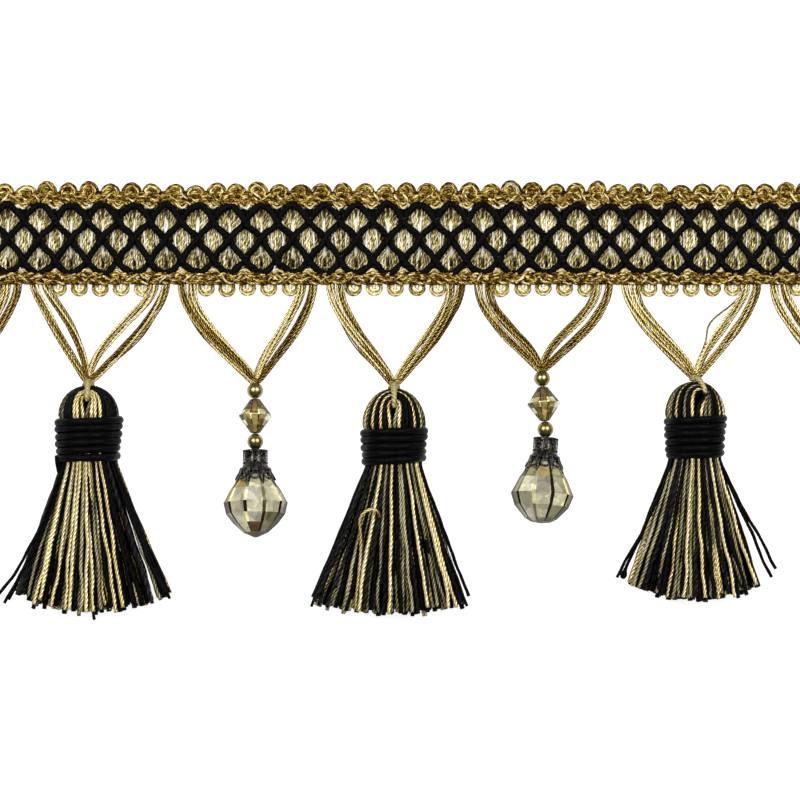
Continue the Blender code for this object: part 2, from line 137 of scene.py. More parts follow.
def ground_strip():
    """The woven strip as one thin closed sheet, a little uneven along its edges."""
    columns, rows = 320, 12
    xs = np.linspace(-trim_end, trim_end, columns + 1)
    ys = np.linspace(-1.0, 1.0, rows + 1)
    grid_x, grid_y = np.meshgrid(xs, ys, indexing="ij")
    drift = 0.12 * MM * np.sin(xs / (4.1 * MM)) + 0.08 * MM * np.sin(xs / (1.7 * MM) + 1.0)
    grid_y = grid_y * (heading_half + drift[:, None] - 0.1 * MM)
    ripple = 0.07 * MM * np.sin(grid_x / (0.42 * MM)) * np.cos(grid_y / (0.57 * MM))
    top = np.stack([grid_x, grid_y, ground_face + ripple], -1).reshape(-1, 3)
    low = np.stack([grid_x, grid_y, ground_back + 0.5 * np.abs(ripple)], -1).reshape(-1, 3)
    number = np.arange((columns + 1) * (rows + 1)).reshape(columns + 1, rows + 1)
    corners = [number[:-1, :-1], number[1:, :-1], number[1:, 1:], number[:-1, 1:]]
    faces = [np.stack(corners, -1).reshape(-1, 4)]
    faces.append(np.stack([c + number.size for c in corners[::-1]], -1).reshape(-1, 4))
    for edge in (number[:, 0], number[-1, :], number[::-1, -1], number[0, ::-1]):
        under = edge + number.size
        faces.append(np.stack([under[:-1], under[1:], edge[1:], edge[:-1]], -1))
    mesh = bpy.data.meshes.new("heading_ground")
    mesh.from_pydata(np.concatenate([top, low]).tolist(), [], np.concatenate(faces).tolist())
    mesh.shade_smooth()
    return mesh


def add_to_scene(name, data):
    thing = bpy.data.objects.new(name, data)
    bpy.context.scene.collection.objects.link(thing)
    return thing


def add_piece(name, mesh, finish, slot, *nodes):
    """A visible piece of the trim: its mesh, its finish, and the CAD nodes it stands for, which it hides.
    slot is not used.
    """
    piece = add_to_scene(name, mesh)
    piece.data.materials.append(finish)
    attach(piece, "root")
    if nodes:
        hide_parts(*nodes)
    return piece


heading_ground = add_piece("heading_ground", ground_strip(), ground_finish(), "ground_weave", "heading_tape")

# --------------------------------------
# The yarns across the heading's face. Bright cream floats of loose satin yarn cross its middle,
# and twisted brown and gold yarns lie between them; fine gold picks bind both near the edges.
# --------------------------------------
loop_pitch = 2 * trim_end / 49
diamond_pitch = 1.5 * loop_pitch
diamond_phase = -2.0 * MM
crossing_phase = diamond_phase + diamond_pitch / 2
float_half = 4.95 * MM
# a binding yarn rises and falls once in 2 pi times this length
crimp = 0.62 * MM
rng = np.random.default_rng(7)


def full_turn(steps):
    """Even steps round a full turn, in radians."""
    return 2 * np.pi * np.arange(steps) / steps


def yarn_mesh(name, lines, radius, twist, lobe=0.14, plies=2, sides=8, across=(0, 0, 1), shades=None,
              tapers=None):
    """Twisted yarns as one mesh. Each line holds the points along one yarn's middle.

    twist is in turns per metre, and lobe is how deep the plies' grooves are, as a share of the radius.
    The UV map "ply" holds turns round the twisted yarn, and millimetres along it.
    """
    angle = full_turn(sides)
    co, uvs, quads, caps, shade_values, crests = [], [], [], [], [], []
    first = 0
    for index, line in enumerate(lines):
        line = np.asarray(line, float)
        count = len(line)
        steps = np.linalg.norm(np.diff(line, axis=0), axis=1)
        along = np.concatenate([[0.0], np.cumsum(steps)])
        heading = np.gradient(line, axis=0)
        heading /= np.linalg.norm(heading, axis=1, keepdims=True)
        guide = np.asarray(across[index] if np.ndim(across) > 1 else across, float)
        side = np.cross(heading, guide)
        side /= np.linalg.norm(side, axis=1, keepdims=True)
        up = np.cross(side, heading)
        start = rng.random()
        turn = twist * along + start
        size = np.full(count, radius[index] if np.ndim(radius) else radius)
        if tapers is not None:
            size = size * tapers[index]
        thick = 0.05 * np.sin(along / (1.9 * MM) + 9 * start)
        size = size * (1.0 + thick + 0.04 * np.sin(along / (0.83 * MM)))
        ply = np.cos(plies * (angle[None, :] - 2 * np.pi * turn[:, None]))
        around = size[:, None] * (1.0 - lobe + lobe * ply)
        ring = line[:, None, :] + around[..., None] * (
            np.cos(angle)[None, :, None] * side[:, None, :]
            + np.sin(angle)[None, :, None] * up[:, None, :]
        )
        co.append(ring.reshape(-1, 3))
        # how far the surface faces up at each point; the finishes read it to paint light on top and shade
        # down the sides
        crests.append((np.cos(angle) * side[:, 2:] + np.sin(angle) * up[:, 2:]).ravel())
        grid = first + np.arange(count * sides).reshape(count, sides)
        ahead = np.roll(grid, -1, axis=1)
        quads.append(np.stack([grid[:-1], grid[1:], ahead[1:], ahead[:-1]], -1).reshape(-1, 4))
        left = np.arange(sides) / sides
        right = left + 1.0 / sides
        v = along / MM
        corner_u = np.stack(
            [
                left[None, :] - turn[:-1, None], left[None, :] - turn[1:, None],
                right[None, :] - turn[1:, None], right[None, :] - turn[:-1, None],
            ], -1,
        )
        corner_v = np.broadcast_to(
            np.stack([v[:-1], v[1:], v[1:], v[:-1]], -1)[:, None, :], corner_u.shape
        )
        uvs.append(np.stack([corner_u, corner_v], -1).reshape(-1, 2))
        caps.append(grid[0])
        caps.append(grid[-1, ::-1])
        shade = rng.random() if shades is None else shades[index]
        shade_values.append(np.repeat(np.broadcast_to(shade, count), sides))
        first += count * sides
    quads = np.concatenate(quads)
    caps = np.array(caps)
    mesh = bpy.data.meshes.new(name)
    corners = np.concatenate([quads.ravel(), caps.ravel()])
    starts = np.concatenate(
        [4 * np.arange(len(quads)), 4 * len(quads) + sides * np.arange(len(caps))]
    )
    mesh.vertices.add(first)
    mesh.vertices.foreach_set("co", np.concatenate(co).ravel())
    mesh.loops.add(len(corners))
    mesh.loops.foreach_set("vertex_index", corners.astype(np.int32))
    mesh.polygons.add(len(starts))
    mesh.polygons.foreach_set("loop_start", starts.astype(np.int32))
    mesh.update(calc_edges=True)
    cap_uvs = np.zeros((caps.size, 2))
    ply_map = mesh.uv_layers.new(name="ply")
    ply_map.uv.foreach_set("vector", np.concatenate([np.concatenate(uvs), cap_uvs]).ravel())
    for label, values in (("shade", shade_values), ("crest", crests)):
        mesh.attributes.new(label, "FLOAT", "POINT").data.foreach_set("value", np.concatenate(values))
    mesh.shade_smooth()
    return mesh


def yarn_finish(name, steps, depth, roughness, gloss, plies=2, fibre=0.45, streak=0.3, relief=0.9,
                lustre=0.0, wear_and_painted_shade=0.0, patch=0.16):
    """Twisted yarn: each yarn has its own tone, with painted shade between its plies and a painted
    highlight on their crowns.

    The argument after lustre is how much paler the yarn is painted on top than down its sides, as
    light and shade, and patch is how many light or dull patches come to a millimetre."""
    finish, tree, shader = new_finish(
        name, {"Roughness": roughness, "Specular IOR Level": gloss, "Metallic": lustre}
    )
    ply_map = add_node(tree, "ShaderNodeUVMap", uv_map="ply").outputs[0]
    place = add_node(tree, "ShaderNodeSeparateXYZ", {0: ply_map})
    shade = add_node(tree, "ShaderNodeAttribute", attribute_name="shade").outputs["Fac"]
    # painted highlight and shade: the crowns of the plies are painted paler and the grooves between them
    # darker
    turn = reckon(tree, "MULTIPLY", place.outputs["X"], 2 * math.pi * plies)
    crown = reckon(tree, "MULTIPLY_ADD", reckon(tree, "COSINE", turn), 0.5, 0.5)
    crown = reckon(tree, "POWER", crown, 0.7)
    seed = reckon(tree, "MULTIPLY", shade, 370.0)

    def along_yarn(across, along, scale, detail):
        """Noise stretched along the yarn, and different in every yarn."""
        lie = add_node(
            tree, "ShaderNodeCombineXYZ",
            {"X": reckon(tree, "MULTIPLY", place.outputs["X"], across),
             "Y": reckon(tree, "MULTIPLY", place.outputs["Y"], along), "Z": seed},
        )
        return noise(tree, lie.outputs[0], scale, detail)

    fibres = along_yarn(across=9.0, along=0.8, scale=1.6, detail=3.0)
    patches = along_yarn(across=0.0, along=patch, scale=1.0, detail=2.0)
    changes = [(fibres, 0.5, fibre), (patches, 0.5, streak), (crown, 0.65, depth)]
    # painted light and shade: the yarn is painted paler where it faces up and darker down its sides
    if wear_and_painted_shade:
        crest = add_node(tree, "ShaderNodeAttribute", attribute_name="crest").outputs["Fac"]
        changes.append((crest, 0.62, wear_and_painted_shade))
    tone = shade
    for value, middle, weight in changes:
        tone = reckon(tree, "MULTIPLY_ADD", reckon(tree, "SUBTRACT", value, middle), weight, tone)
    colour_steps(tree, shader, tone, steps)
    height = reckon(tree, "MULTIPLY_ADD", fibres, 0.6, crown)
    add_bump(tree, shader, height, strength=relief, distance=0.16 * MM)
    return finish


def places(pitch, phase, margin):
    """Every place of a repeat along the heading that keeps that margin from its cut ends."""
    first = math.ceil((-trim_end + margin - phase) / pitch)
    last = math.floor((trim_end - margin - phase) / pitch)
    return [phase + pitch * k for k in range(first, last + 1)]


def waver(values, size, length):
    """A slow, uneven sideways drift, as yarn has where nothing holds it straight."""
    a, b = rng.uniform(0, 2 * np.pi, 2)
    t = values / length
    return size * (0.65 * np.sin(2 * np.pi * t + a) + 0.35 * np.sin(2 * np.pi * 2.3 * t + b))


def points_at(x, y, z):
    """Points along a line. A coordinate may be one number for all of them."""
    return np.stack(np.broadcast_arrays(x, y, z), -1)


def lay(yarns, line, radius, shade):
    """Adds one yarn to a group: the points along its middle, its radius in millimetres and its tone."""
    for values, value in zip(yarns, (line, radius * MM, shade)):
        values.append(value)


def tone_near(middle, spread, low, high):
    """A tone drawn near the middle one, and kept between the two limits."""
    return np.clip(rng.normal(middle, spread), low, high)


def yarn_piece(name, yarns, finish, slot, *nodes, **shape):
    """One piece made of a group of yarns."""
    lines, radii, shades = yarns
    mesh = yarn_mesh(name, lines, radii, shades=shades, **shape)
    return add_piece(name, mesh, finish, slot, *nodes)


floats, binders = ([], [], []), ([], [], [])
for x in places(diamond_pitch, diamond_phase, 1.0 * MM):
    for offset, strands in ((0.0, (-0.10, 0.16)), (-0.325, (0.0,)), (0.325, (0.0,))):
        middle = x + offset * diamond_pitch
        if abs(middle) > trim_end - 0.8 * MM:
            continue
        for split in strands:
            y = np.linspace(-float_half, float_half, 15)
            dive = (np.abs(y) / float_half) ** 6
            z = ground_face + (1.05 - 0.75 * dive) * MM
            side = middle + (split + rng.normal(0, 0.06)) * MM + waver(y, 0.15 * MM, 8 * MM)
            line = points_at(side, y + rng.normal(0, 0.25 * MM), z)
            # painted shade: each float is toned darker towards its ends, where it dives under the ground
            bright = rng.normal(0.86 if offset == 0 else 0.83, 0.12)
            lay(floats, line, (0.29 if offset == 0 else 0.23) * rng.uniform(0.9, 1.3),
                np.clip(bright - 0.25 * (y / float_half) ** 4, 0.25, 1.0))
    # the yarns beside the float spread out like the ribs of a fan towards the heading's edges
    for edge in (-1, 1):
        for rib in (-2.6, -1.95, -1.3, -0.62, 0.62, 1.3, 1.95, 2.6):
            t = np.linspace(0.0, 1.0, 10)
            y = edge * (1.2 + 8.0 * t) * MM
            spread = 0.62 + 0.42 * np.clip((t - 0.15) * 2.2, 0, 1)
            side = x + rib * spread * MM + waver(y, 0.16 * MM, 3.5 * MM)
            z = ground_face + (0.66 + 0.14 * np.cos(y / crimp + rib)) * MM
            if (np.abs(side) < trim_end - 0.5 * MM).all():
                lay(binders, points_at(side, y, z), rng.uniform(0.33, 0.42), tone_near(0.60, 0.12, 0.3, 0.9))
for x in places(diamond_pitch, crossing_phase, 1.6 * MM):
    for rib in (-2.0, -1.0, -0.42, 0.22, 0.85, 1.95):
        y = np.linspace(-4.4, 4.4, 17) * MM
        side = x + rib * MM * (1.0 - 0.25 * (y / (4.4 * MM)) ** 2) + waver(y, 0.20 * MM, 2.8 * MM)
        z = ground_face + (0.72 + 0.14 * np.sin(y / crimp + 2 * rib)) * MM
        lay(binders, points_at(side, y, z), rng.uniform(0.34, 0.42), tone_near(0.66, 0.10, 0.3, 0.9))

# the last warp yarns are left whole where the strip is cut
for end in (-1, 1):
    for k in range(4):
        y = np.linspace(-9.6, 9.6, 30) * MM
        side = end * (trim_end - (0.45 + 0.62 * k) * MM) + waver(y, 0.12 * MM, 5 * MM)
        z = ground_face + (0.42 + 0.14 * np.sin(y / crimp + 2 * k)) * MM
        lay(binders, points_at(side, y, z), rng.uniform(0.32, 0.38), rng.uniform(0.40, 0.65))

cream_steps = [
    (0.0, (0.16, 0.11, 0.035)), (0.35, (0.46, 0.38, 0.19)), (0.65, (0.78, 0.73, 0.53)),
    (1.0, (0.92, 0.90, 0.82)),
]
cream_satin = yarn_finish(
    "cream_satin", cream_steps, depth=0.12, roughness=0.40, gloss=0.3, fibre=0.6, streak=0.6, lustre=0.3,
    wear_and_painted_shade=0.25,
)
yarn_piece("cream_floats", floats, cream_satin, "ground_weave", twist=70, lobe=0.04, sides=6)
olive_steps = [
    (0.0, (0.012, 0.007, 0.002)), (0.25, (0.060, 0.040, 0.010)), (0.45, (0.17, 0.13, 0.042)),
    (0.65, (0.39, 0.31, 0.115)), (0.85, (0.70, 0.60, 0.31)), (1.0, (0.90, 0.83, 0.58)),
]
olive_yarn = yarn_finish(
    "olive_gold_yarn", olive_steps, depth=0.36, roughness=0.45, gloss=0.1, fibre=1.8, streak=1.3,
    lustre=0.35, wear_and_painted_shade=0.4,
)
yarn_piece("face_yarns", binders, olive_yarn, "ground_weave", twist=-330, lobe=0.04, sides=6)

# the picks run the length of the heading and bind the warp; a black thread shows through below
picks = ([], [], [])
for row, y in enumerate((-8.7, -7.5, 7.5, 8.7)):
    x = np.arange(-trim_end + 0.3 * MM, trim_end - 0.3 * MM, 0.65 * MM)
    wave = 6 * np.pi * (x - diamond_phase) / diamond_pitch
    z = ground_face + (0.70 + 0.45 * np.cos(wave + row * np.pi)) * MM
    level = y * MM + 0.22 * MM * np.sin(wave * 0.5 + row) + waver(x, 0.16 * MM, 13 * MM)
    lay(picks, points_at(x, level, z), 0.25, 0.55)
yarn_piece("gold_picks", picks, olive_yarn, "ground_weave", twist=-400, sides=6)
black_threads, chip_lines = ([], [], []), []
thread_height = ground_face + 1.30 * MM
crossings = places(diamond_pitch, crossing_phase, 2.5 * MM)
for x in places(diamond_pitch, diamond_phase, 1.5 * MM):
    y = np.linspace(-5.8, -7.2, 7) * MM
    lay(black_threads, points_at(x + 0.1 * MM, y, thread_height), 0.22, 0.3)
# along the top, black threads fill the notch above each outer crossing of the net; they stand both for the
# cord flattened there and for painted shade in the notch
for x in crossings:
    for side in (-1, 1):
        t = np.linspace(0.0, 1.0, 4)
        across = x + side * (0.62 - 0.50 * t) * MM
        lay(black_threads, points_at(across, (7.15 - 1.5 * t) * MM, thread_height), 0.46, 0.3)
for x in crossings:
    for side in (-1, 1):
        for edge in (-1, 1):
            for _ in range(rng.integers(0, 3)):
                t = np.linspace(0.0, 1.0, 6)
                across = x + side * (rng.uniform(0.1, 1.3) + rng.uniform(0.2, 0.9) * t) * MM
                up = edge * (rng.uniform(6.7, 7.7) + rng.uniform(0.5, 1.1) * t) * MM
                rise = ground_face + (1.7 + 0.35 * np.sin(np.pi * t)) * MM
                chip_lines.append(points_at(across, up, rise))
chip_radii = rng.uniform(0.20, 0.34, len(chip_lines)) * MM
chips = (chip_lines, chip_radii, rng.uniform(0.4, 1.0, len(chip_lines)))
yarn_piece("cream_chips", chips, cream_satin, "ground_weave", twist=300, lobe=0.05, sides=6)

# --------------------------------------
# The net: four soft black cords that run to and fro across the heading, over and under each
# other, and turn back in round arcs at its edges. Fine grey thread stitches down the crossings.
# --------------------------------------
net_row, net_bend = 4.75 * MM, 0.53
net_height = ground_face + 2.1 * MM
net_cords = ([], [], [])


def turn_back(u):
    """How far the cord has come down from the turn: round at first, steeper where it crosses."""
    straight = u + 0.30 * np.sin(2 * np.pi * u) / (2 * np.pi) * np.clip((u - 0.4) * 3, 0, 1)
    return np.where(u < net_bend, (u * u + net_bend**2) / (2 * net_bend), straight)


for cord in range(4):
    x = np.arange(-trim_end + 0.2 * MM, trim_end - 0.2 * MM, 0.36 * MM)
    step = ((x - diamond_phase) / diamond_pitch + cord) / 0.5 % 8.0
    from_peak = np.minimum(step, 8.0 - step)
    from_foot = np.abs(step - 4.0)
    y = np.where(
        from_peak < 2.0, 2 * net_row - net_row * turn_back(from_peak),
        -2 * net_row + net_row * turn_back(from_foot),
    )
    falling = np.clip(3 * np.sin(np.pi * step / 4), -1, 1)
    z = net_height - 0.50 * MM * np.cos(np.pi * step) * falling
    z -= 0.35 * MM * np.exp(-((np.minimum(from_peak, from_foot) / 0.5) ** 2))
    # worked by hand, the crossings sit a little low
    y = y - 0.45 * MM * np.sin(np.pi * y / (2 * net_row)) ** 2 + 0.03 * (y - 2 * net_row)
    y = y + waver(x, 0.28 * MM, 23 * MM) + waver(x, 0.24 * MM, 6 * MM)
    lay(net_cords, points_at(x, y, z), 0.91, 0.4)
black_steps = [
    (0.0, (0.0012, 0.0011, 0.0013)), (0.55, (0.0030, 0.0027, 0.0032)), (0.85, (0.009, 0.008, 0.0085)),
    (1.0, (0.026, 0.024, 0.023)),
]
black_cord = yarn_finish(
    "black_cord", black_steps, depth=0.3, roughness=0.6, gloss=0.05, plies=3, fibre=0.9, streak=0.2,
)
yarn_piece("black_net", net_cords, black_cord, "black_cord", "lattice_net",
           twist=240, lobe=0.06, plies=3, sides=9)
yarn_piece("black_thread", black_threads, black_cord, "black_cord", twist=300, sides=6)

stitch_lines = []
for edge in (-1, 1):
    for x in crossings:
        if rng.random() < 0.45:
            continue
        reach = rng.uniform(0.25, 0.7) * MM
        t = np.linspace(-1.0, 1.0, 7)
        y = edge * net_row + rng.normal(0, 0.25 * MM) + 0.2 * MM * t * rng.uniform(-1, 1)
        z = net_height + (1.42 - 0.55 * t**2) * MM
        stitch_lines.append(points_at(x + rng.normal(0, 0.3 * MM) + reach * t, y, z))
grey_steps = [(0.0, (0.008, 0.008, 0.008)), (1.0, (0.075, 0.072, 0.07))]
add_piece(
    "grey_stitches",
    yarn_mesh("grey_stitches", stitch_lines, 0.10 * MM, twist=0, lobe=0.0, sides=5),
    yarn_finish("grey_thread", grey_steps, depth=0.0, roughness=0.45, gloss=0.3, fibre=0.9),
    "black_cord",
)

# --------------------------------------
# The gimp: along each edge, three gold yarns side by side are looped over and over into round
# scallops, with a plaited chain at their feet. It is worked in with the weft, and isn't glued on.
# --------------------------------------
top_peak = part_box("top_gimp")[1].y
gold_steps = [
    (0.0, (0.014, 0.005, 0.0003)), (0.18, (0.062, 0.027, 0.0015)), (0.40, (0.195, 0.108, 0.013)),
    (0.60, (0.41, 0.275, 0.052)), (0.78, (0.68, 0.52, 0.165)), (1.0, (0.97, 0.87, 0.50)),
]
gold_yarn = yarn_finish(
    "gold_yarn", gold_steps, depth=0.62, roughness=0.40, gloss=0.04, plies=4, fibre=0.55, streak=0.8,
    lustre=0.5, wear_and_painted_shade=0.95,
)
# the same yarn, worked loose: less shade is painted between its plies and down its sides, and it is worn and
# crushed in patches
gimp_yarn = yarn_finish(
    "gimp_yarn", gold_steps, depth=0.34, roughness=0.42, gloss=0.06, plies=3, fibre=1.1, streak=1.5,
    lustre=0.5, wear_and_painted_shade=0.62, patch=0.75,
)
gimp_shape = {"twist": -190, "lobe": 0.04, "plies": 3, "sides": 6}


def scallops(yarns, phase, foot, reach, half_width, middle, strands, tuck):
    """Round loops side by side along the edge, each of the yarn laid over itself in narrowing arcs.

    tuck is how far the ends of each arc run on past the loops' feet."""
    for x in places(loop_pitch, phase * loop_pitch, 0.45 * loop_pitch):
        grow = rng.normal(1.0, 0.10)
        lean = rng.normal(0, 0.3 * MM)
        for share, radius, tone in strands:
            wide = half_width * share * rng.normal(1.0, 0.06)
            tall = reach * grow * (share**0.8) * rng.normal(1.0, 0.03)
            t = np.linspace(-0.16, 1.16, 19) * np.pi
            up = np.where(np.sin(t) > 0, np.abs(np.sin(t)) ** 0.85, tuck * np.sin(t))
            swell = 1.0 + 0.12 * np.sin(np.pi * np.clip(np.sin(t), 0, 1) ** 0.8)
            side = x + lean * np.clip(up, 0, 1) + wide * swell * np.cos(t)
            z = middle + (0.35 * (1 - share) - 0.35 * np.clip(up, 0, 1) + 0.10 * np.sin(5 * t)) * MM
            lay(yarns, points_at(side, foot + tall * up, z), radius, tone_near(tone, 0.10, 0.15, 0.9))


def chain(yarns, levels, swing, middle, lift, radius, tones):
    """Plaits of three strands that run along the loops' feet, one under the other."""
    x = np.arange(-trim_end + 0.2 * MM, trim_end - 0.2 * MM, 0.52 * MM)
    for level in levels:
        start = rng.uniform(0, 2 * np.pi)
        for strand, tone in enumerate(tones):
            wave = 2 * np.pi * x / loop_pitch + start + 2 * np.pi * strand / 3 + waver(x, 0.5, 17 * MM)
            y = level + swing * np.sin(wave) + waver(x, 0.12 * MM, 13 * MM)
            lay(yarns, points_at(x, y, middle + lift * np.sin(2 * wave)),
                radius * rng.uniform(0.9, 1.1), tone + rng.normal(0, 0.04))


def petals(yarns, edge, dip, middle, facing=1):
    """Loops of the same yarn that dip between the net's arcs, with a highlight painted where they turn."""
    for x in places(diamond_pitch, crossing_phase, 3.2 * MM):
        for wide, tall, radius, tone in ((2.15, 1.0, 0.42, 0.52), (1.35, 0.60, 0.42, 0.34)):
            t = np.linspace(-1.0, 1.0, 15)
            shape = np.abs(t) ** 1.6
            across = x + wide * MM * t * rng.uniform(0.9, 1.1) + rng.normal(0, 0.15 * MM)
            up = edge - dip * tall * (1 - shape)
            z = middle - 0.35 * MM * shape + 0.25 * (1 - tall) * MM
            lay(yarns, points_at(across, facing * up, z), radius,
                np.clip(tone + 0.34 * (1 - np.abs(t)) ** 1.5 + rng.normal(0, 0.05), 0.1, 1.0))


def slack_threads(yarns, low, high, middle, facing=1):
    """Thin bright threads that lie slanting over the plaits where the loops cross."""
    for x in places(loop_pitch / 2, 0.0, 3.0 * MM):
        if rng.random() < 0.50:
            continue
        t = np.linspace(0.0, 1.0, 9)
        way = 1 if rng.random() < 0.7 else -1
        across = x + way * rng.uniform(1.0, 2.4) * MM * (t - 0.5) + rng.normal(0, 0.5 * MM)
        across = across + rng.uniform(-0.4, 0.4) * MM * np.sin(np.pi * t)
        top = high - rng.uniform(0.0, 0.35) * (high - low)
        up = top + (low - top) * t * rng.uniform(0.55, 1.0)
        z = middle + (0.50 + 0.35 * np.sin(np.pi * t)) * MM
        lay(yarns, points_at(across, facing * up, z), rng.uniform(0.20, 0.36), rng.uniform(0.55, 0.85))


# each strand of a scallop: its share of the loop's width, its radius in millimetres and its tone
top_foot = 10.75 * MM
top_yarns = ([], [], [])
scallops(top_yarns, phase=0.5, foot=top_foot, reach=top_peak - 0.38 * MM - top_foot,
         half_width=2.02 * MM, middle=2.1 * MM, tuck=2.2,
         strands=((1.0, 0.38, 0.24), (0.76, 0.40, 0.52), (0.50, 0.40, 0.28), (0.24, 0.38, 0.06)))
chain(top_yarns, levels=(10.75 * MM, 9.85 * MM, 8.95 * MM), swing=0.55 * MM, middle=2.1 * MM,
      lift=0.34 * MM, radius=0.47, tones=(0.05, 0.29, 0.53))
petals(top_yarns, edge=9.7 * MM, dip=2.3 * MM, middle=2.35 * MM)
slack_threads(top_yarns, low=8.7 * MM, high=11.4 * MM, middle=2.3 * MM)
yarn_piece("top_gimp_yarns", top_yarns, gimp_yarn, "gold_yarn", "top_gimp", **gimp_shape)

bottom_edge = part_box("bottom_gimp")[0].y
low_yarns = ([], [], [])
scallops(low_yarns, phase=0.0, foot=bottom_edge + 0.9 * MM, reach=2.5 * MM,
         half_width=1.85 * MM, middle=2.35 * MM, tuck=0.3,
         strands=((1.0, 0.38, 0.34), (0.66, 0.40, 0.56), (0.30, 0.38, 0.20)))
chain(low_yarns, levels=[bottom_edge + v * MM for v in (0.62, 1.45, 2.25)], swing=0.45 * MM,
      middle=2.75 * MM, lift=0.30 * MM, radius=0.42, tones=(0.06, 0.32, 0.58))
petals(low_yarns, edge=9.6 * MM, dip=1.65 * MM, middle=2.45 * MM, facing=-1)
slack_threads(low_yarns, low=-bottom_edge - 2.6 * MM, high=-bottom_edge - 0.3 * MM, middle=2.95 * MM,
              facing=-1)
yarn_piece("bottom_gimp_yarns", low_yarns, gimp_yarn, "gold_yarn", "bottom_gimp", **gimp_shape)

# --------------------------------------
# The short loops along the lower edge: two gold yarns turned back in a small ring with an eye in
# its middle, five between the legs of each hanging loop. They are part of the same weft.
# --------------------------------------
unit_pitch = 7 * loop_pitch
units = range(-3, 4)
picot_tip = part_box("picot_comb")[0].y
rings = ([], [], [])
for unit in units:
    for place in range(-2, 3):
        middle = unit * unit_pitch + place * loop_pitch + rng.normal(0, 0.08 * MM)
        depth = rng.normal(0, 0.12 * MM)
        for reach, radius, level, tone in ((1.76, 0.46, 1.10, 0.47), (0.86, 0.56, 1.42, 1.02)):
            t = np.linspace(-0.18, 1.18, 24) * np.pi
            x = middle + reach * MM * np.cos(t) * np.where(np.sin(t) < 0, 0.93, 1.0)
            y = picot_tip + 1.78 * MM + depth - reach * MM * np.sin(t)
            y = np.where(np.sin(t) < 0, y - 2.4 * reach * MM * np.sin(t), y)
            z = level * MM + 0.12 * MM * np.sin(3 * t)
            # painted highlight: each ring is toned paler towards its lowest point
            lay(rings, points_at(x, y, z), radius,
                np.clip(tone + 0.24 * np.sin(t) + rng.normal(0, 0.08), 0.1, 1.0))
yarn_piece("picot_rings", rings, gimp_yarn, "gold_yarn", "picot_comb", **gimp_shape)

# --------------------------------------
# The hanging loops: two loose bundles of six twisted gold yarns each, looped down from under
# the gimp. The outer bundle's foot carries the tassel or the drop, and the inner one sits in it.
# --------------------------------------
def soft_curve(t, a, b, c, d):
    """A curve from a to d as t goes from 0 to 1: it leaves a towards b, and comes in from c."""
    return a * (1 - t) ** 3 + b * 3 * t * (1 - t) ** 2 + c * 3 * t * t * (1 - t) + d * t**3


def leg_points(start, foot, reach, lift, lean):
    """One leg: straight down out of the heading, then in a soft curve to the foot.

    lift and lean are how high and how far out the leg is as it comes in to the foot."""
    (x0, y0, z0), (x1, y1, z1) = start, foot
    under_gimp = [(x0, y0 + 2.0 * MM, z0 - 1.2 * MM), (x0, y0 + 0.9 * MM, z0 - 0.5 * MM)]
    t = np.linspace(0.0, 1.0, 46)
    across = soft_curve(t, x0, x0, x1 + (x0 - x1) * lean, x1)
    down = soft_curve(t, y0, y0 - reach, y1 + lift, y1)
    return np.vstack([under_gimp, points_at(across, down, z0 + (z1 - z0) * (t * t * (3 - 2 * t)))])


def ease(line, times):
    """Rounds the sharp turns of a line: each point moves towards the middle of its neighbours."""
    for _ in range(times):
        line[1:-1] = (line[:-2] + 2 * line[1:-1] + line[2:]) / 4


# a ply that has slipped out of its yarn: the loop and leg it lies beside, how far out, and how far down
slipped_plies = {(2, 1): (1.0, 0.55), (4, 0): (0.9, 0.6), (6, 1): (-2.9, 0.46), (3, 0): (0.6, 0.5)}
# one row a loop: how far each leg runs down before it bends in, how far its two bundles lie apart
# (millimetres, left then right), and how far above the foot the inner bundle's legs meet
loop_rows = {
    1: ((7.6, 7.0), (0.5, 0.2), 1.7), 2: ((2.6, 6.6), (0.6, 0.8), 3.9),
    3: ((8.6, 7.6), (-1.0, 0.9), 1.7), 4: ((7.4, 6.8), (-0.7, -0.6), 1.5),
    5: ((8.4, 8.2), (-0.2, 0.8), 2.3), 6: ((7.2, 6.4), (-1.1, 0.5), 2.7),
    7: ((7.4, 7.6), (0.4, -0.2), 1.7),
}
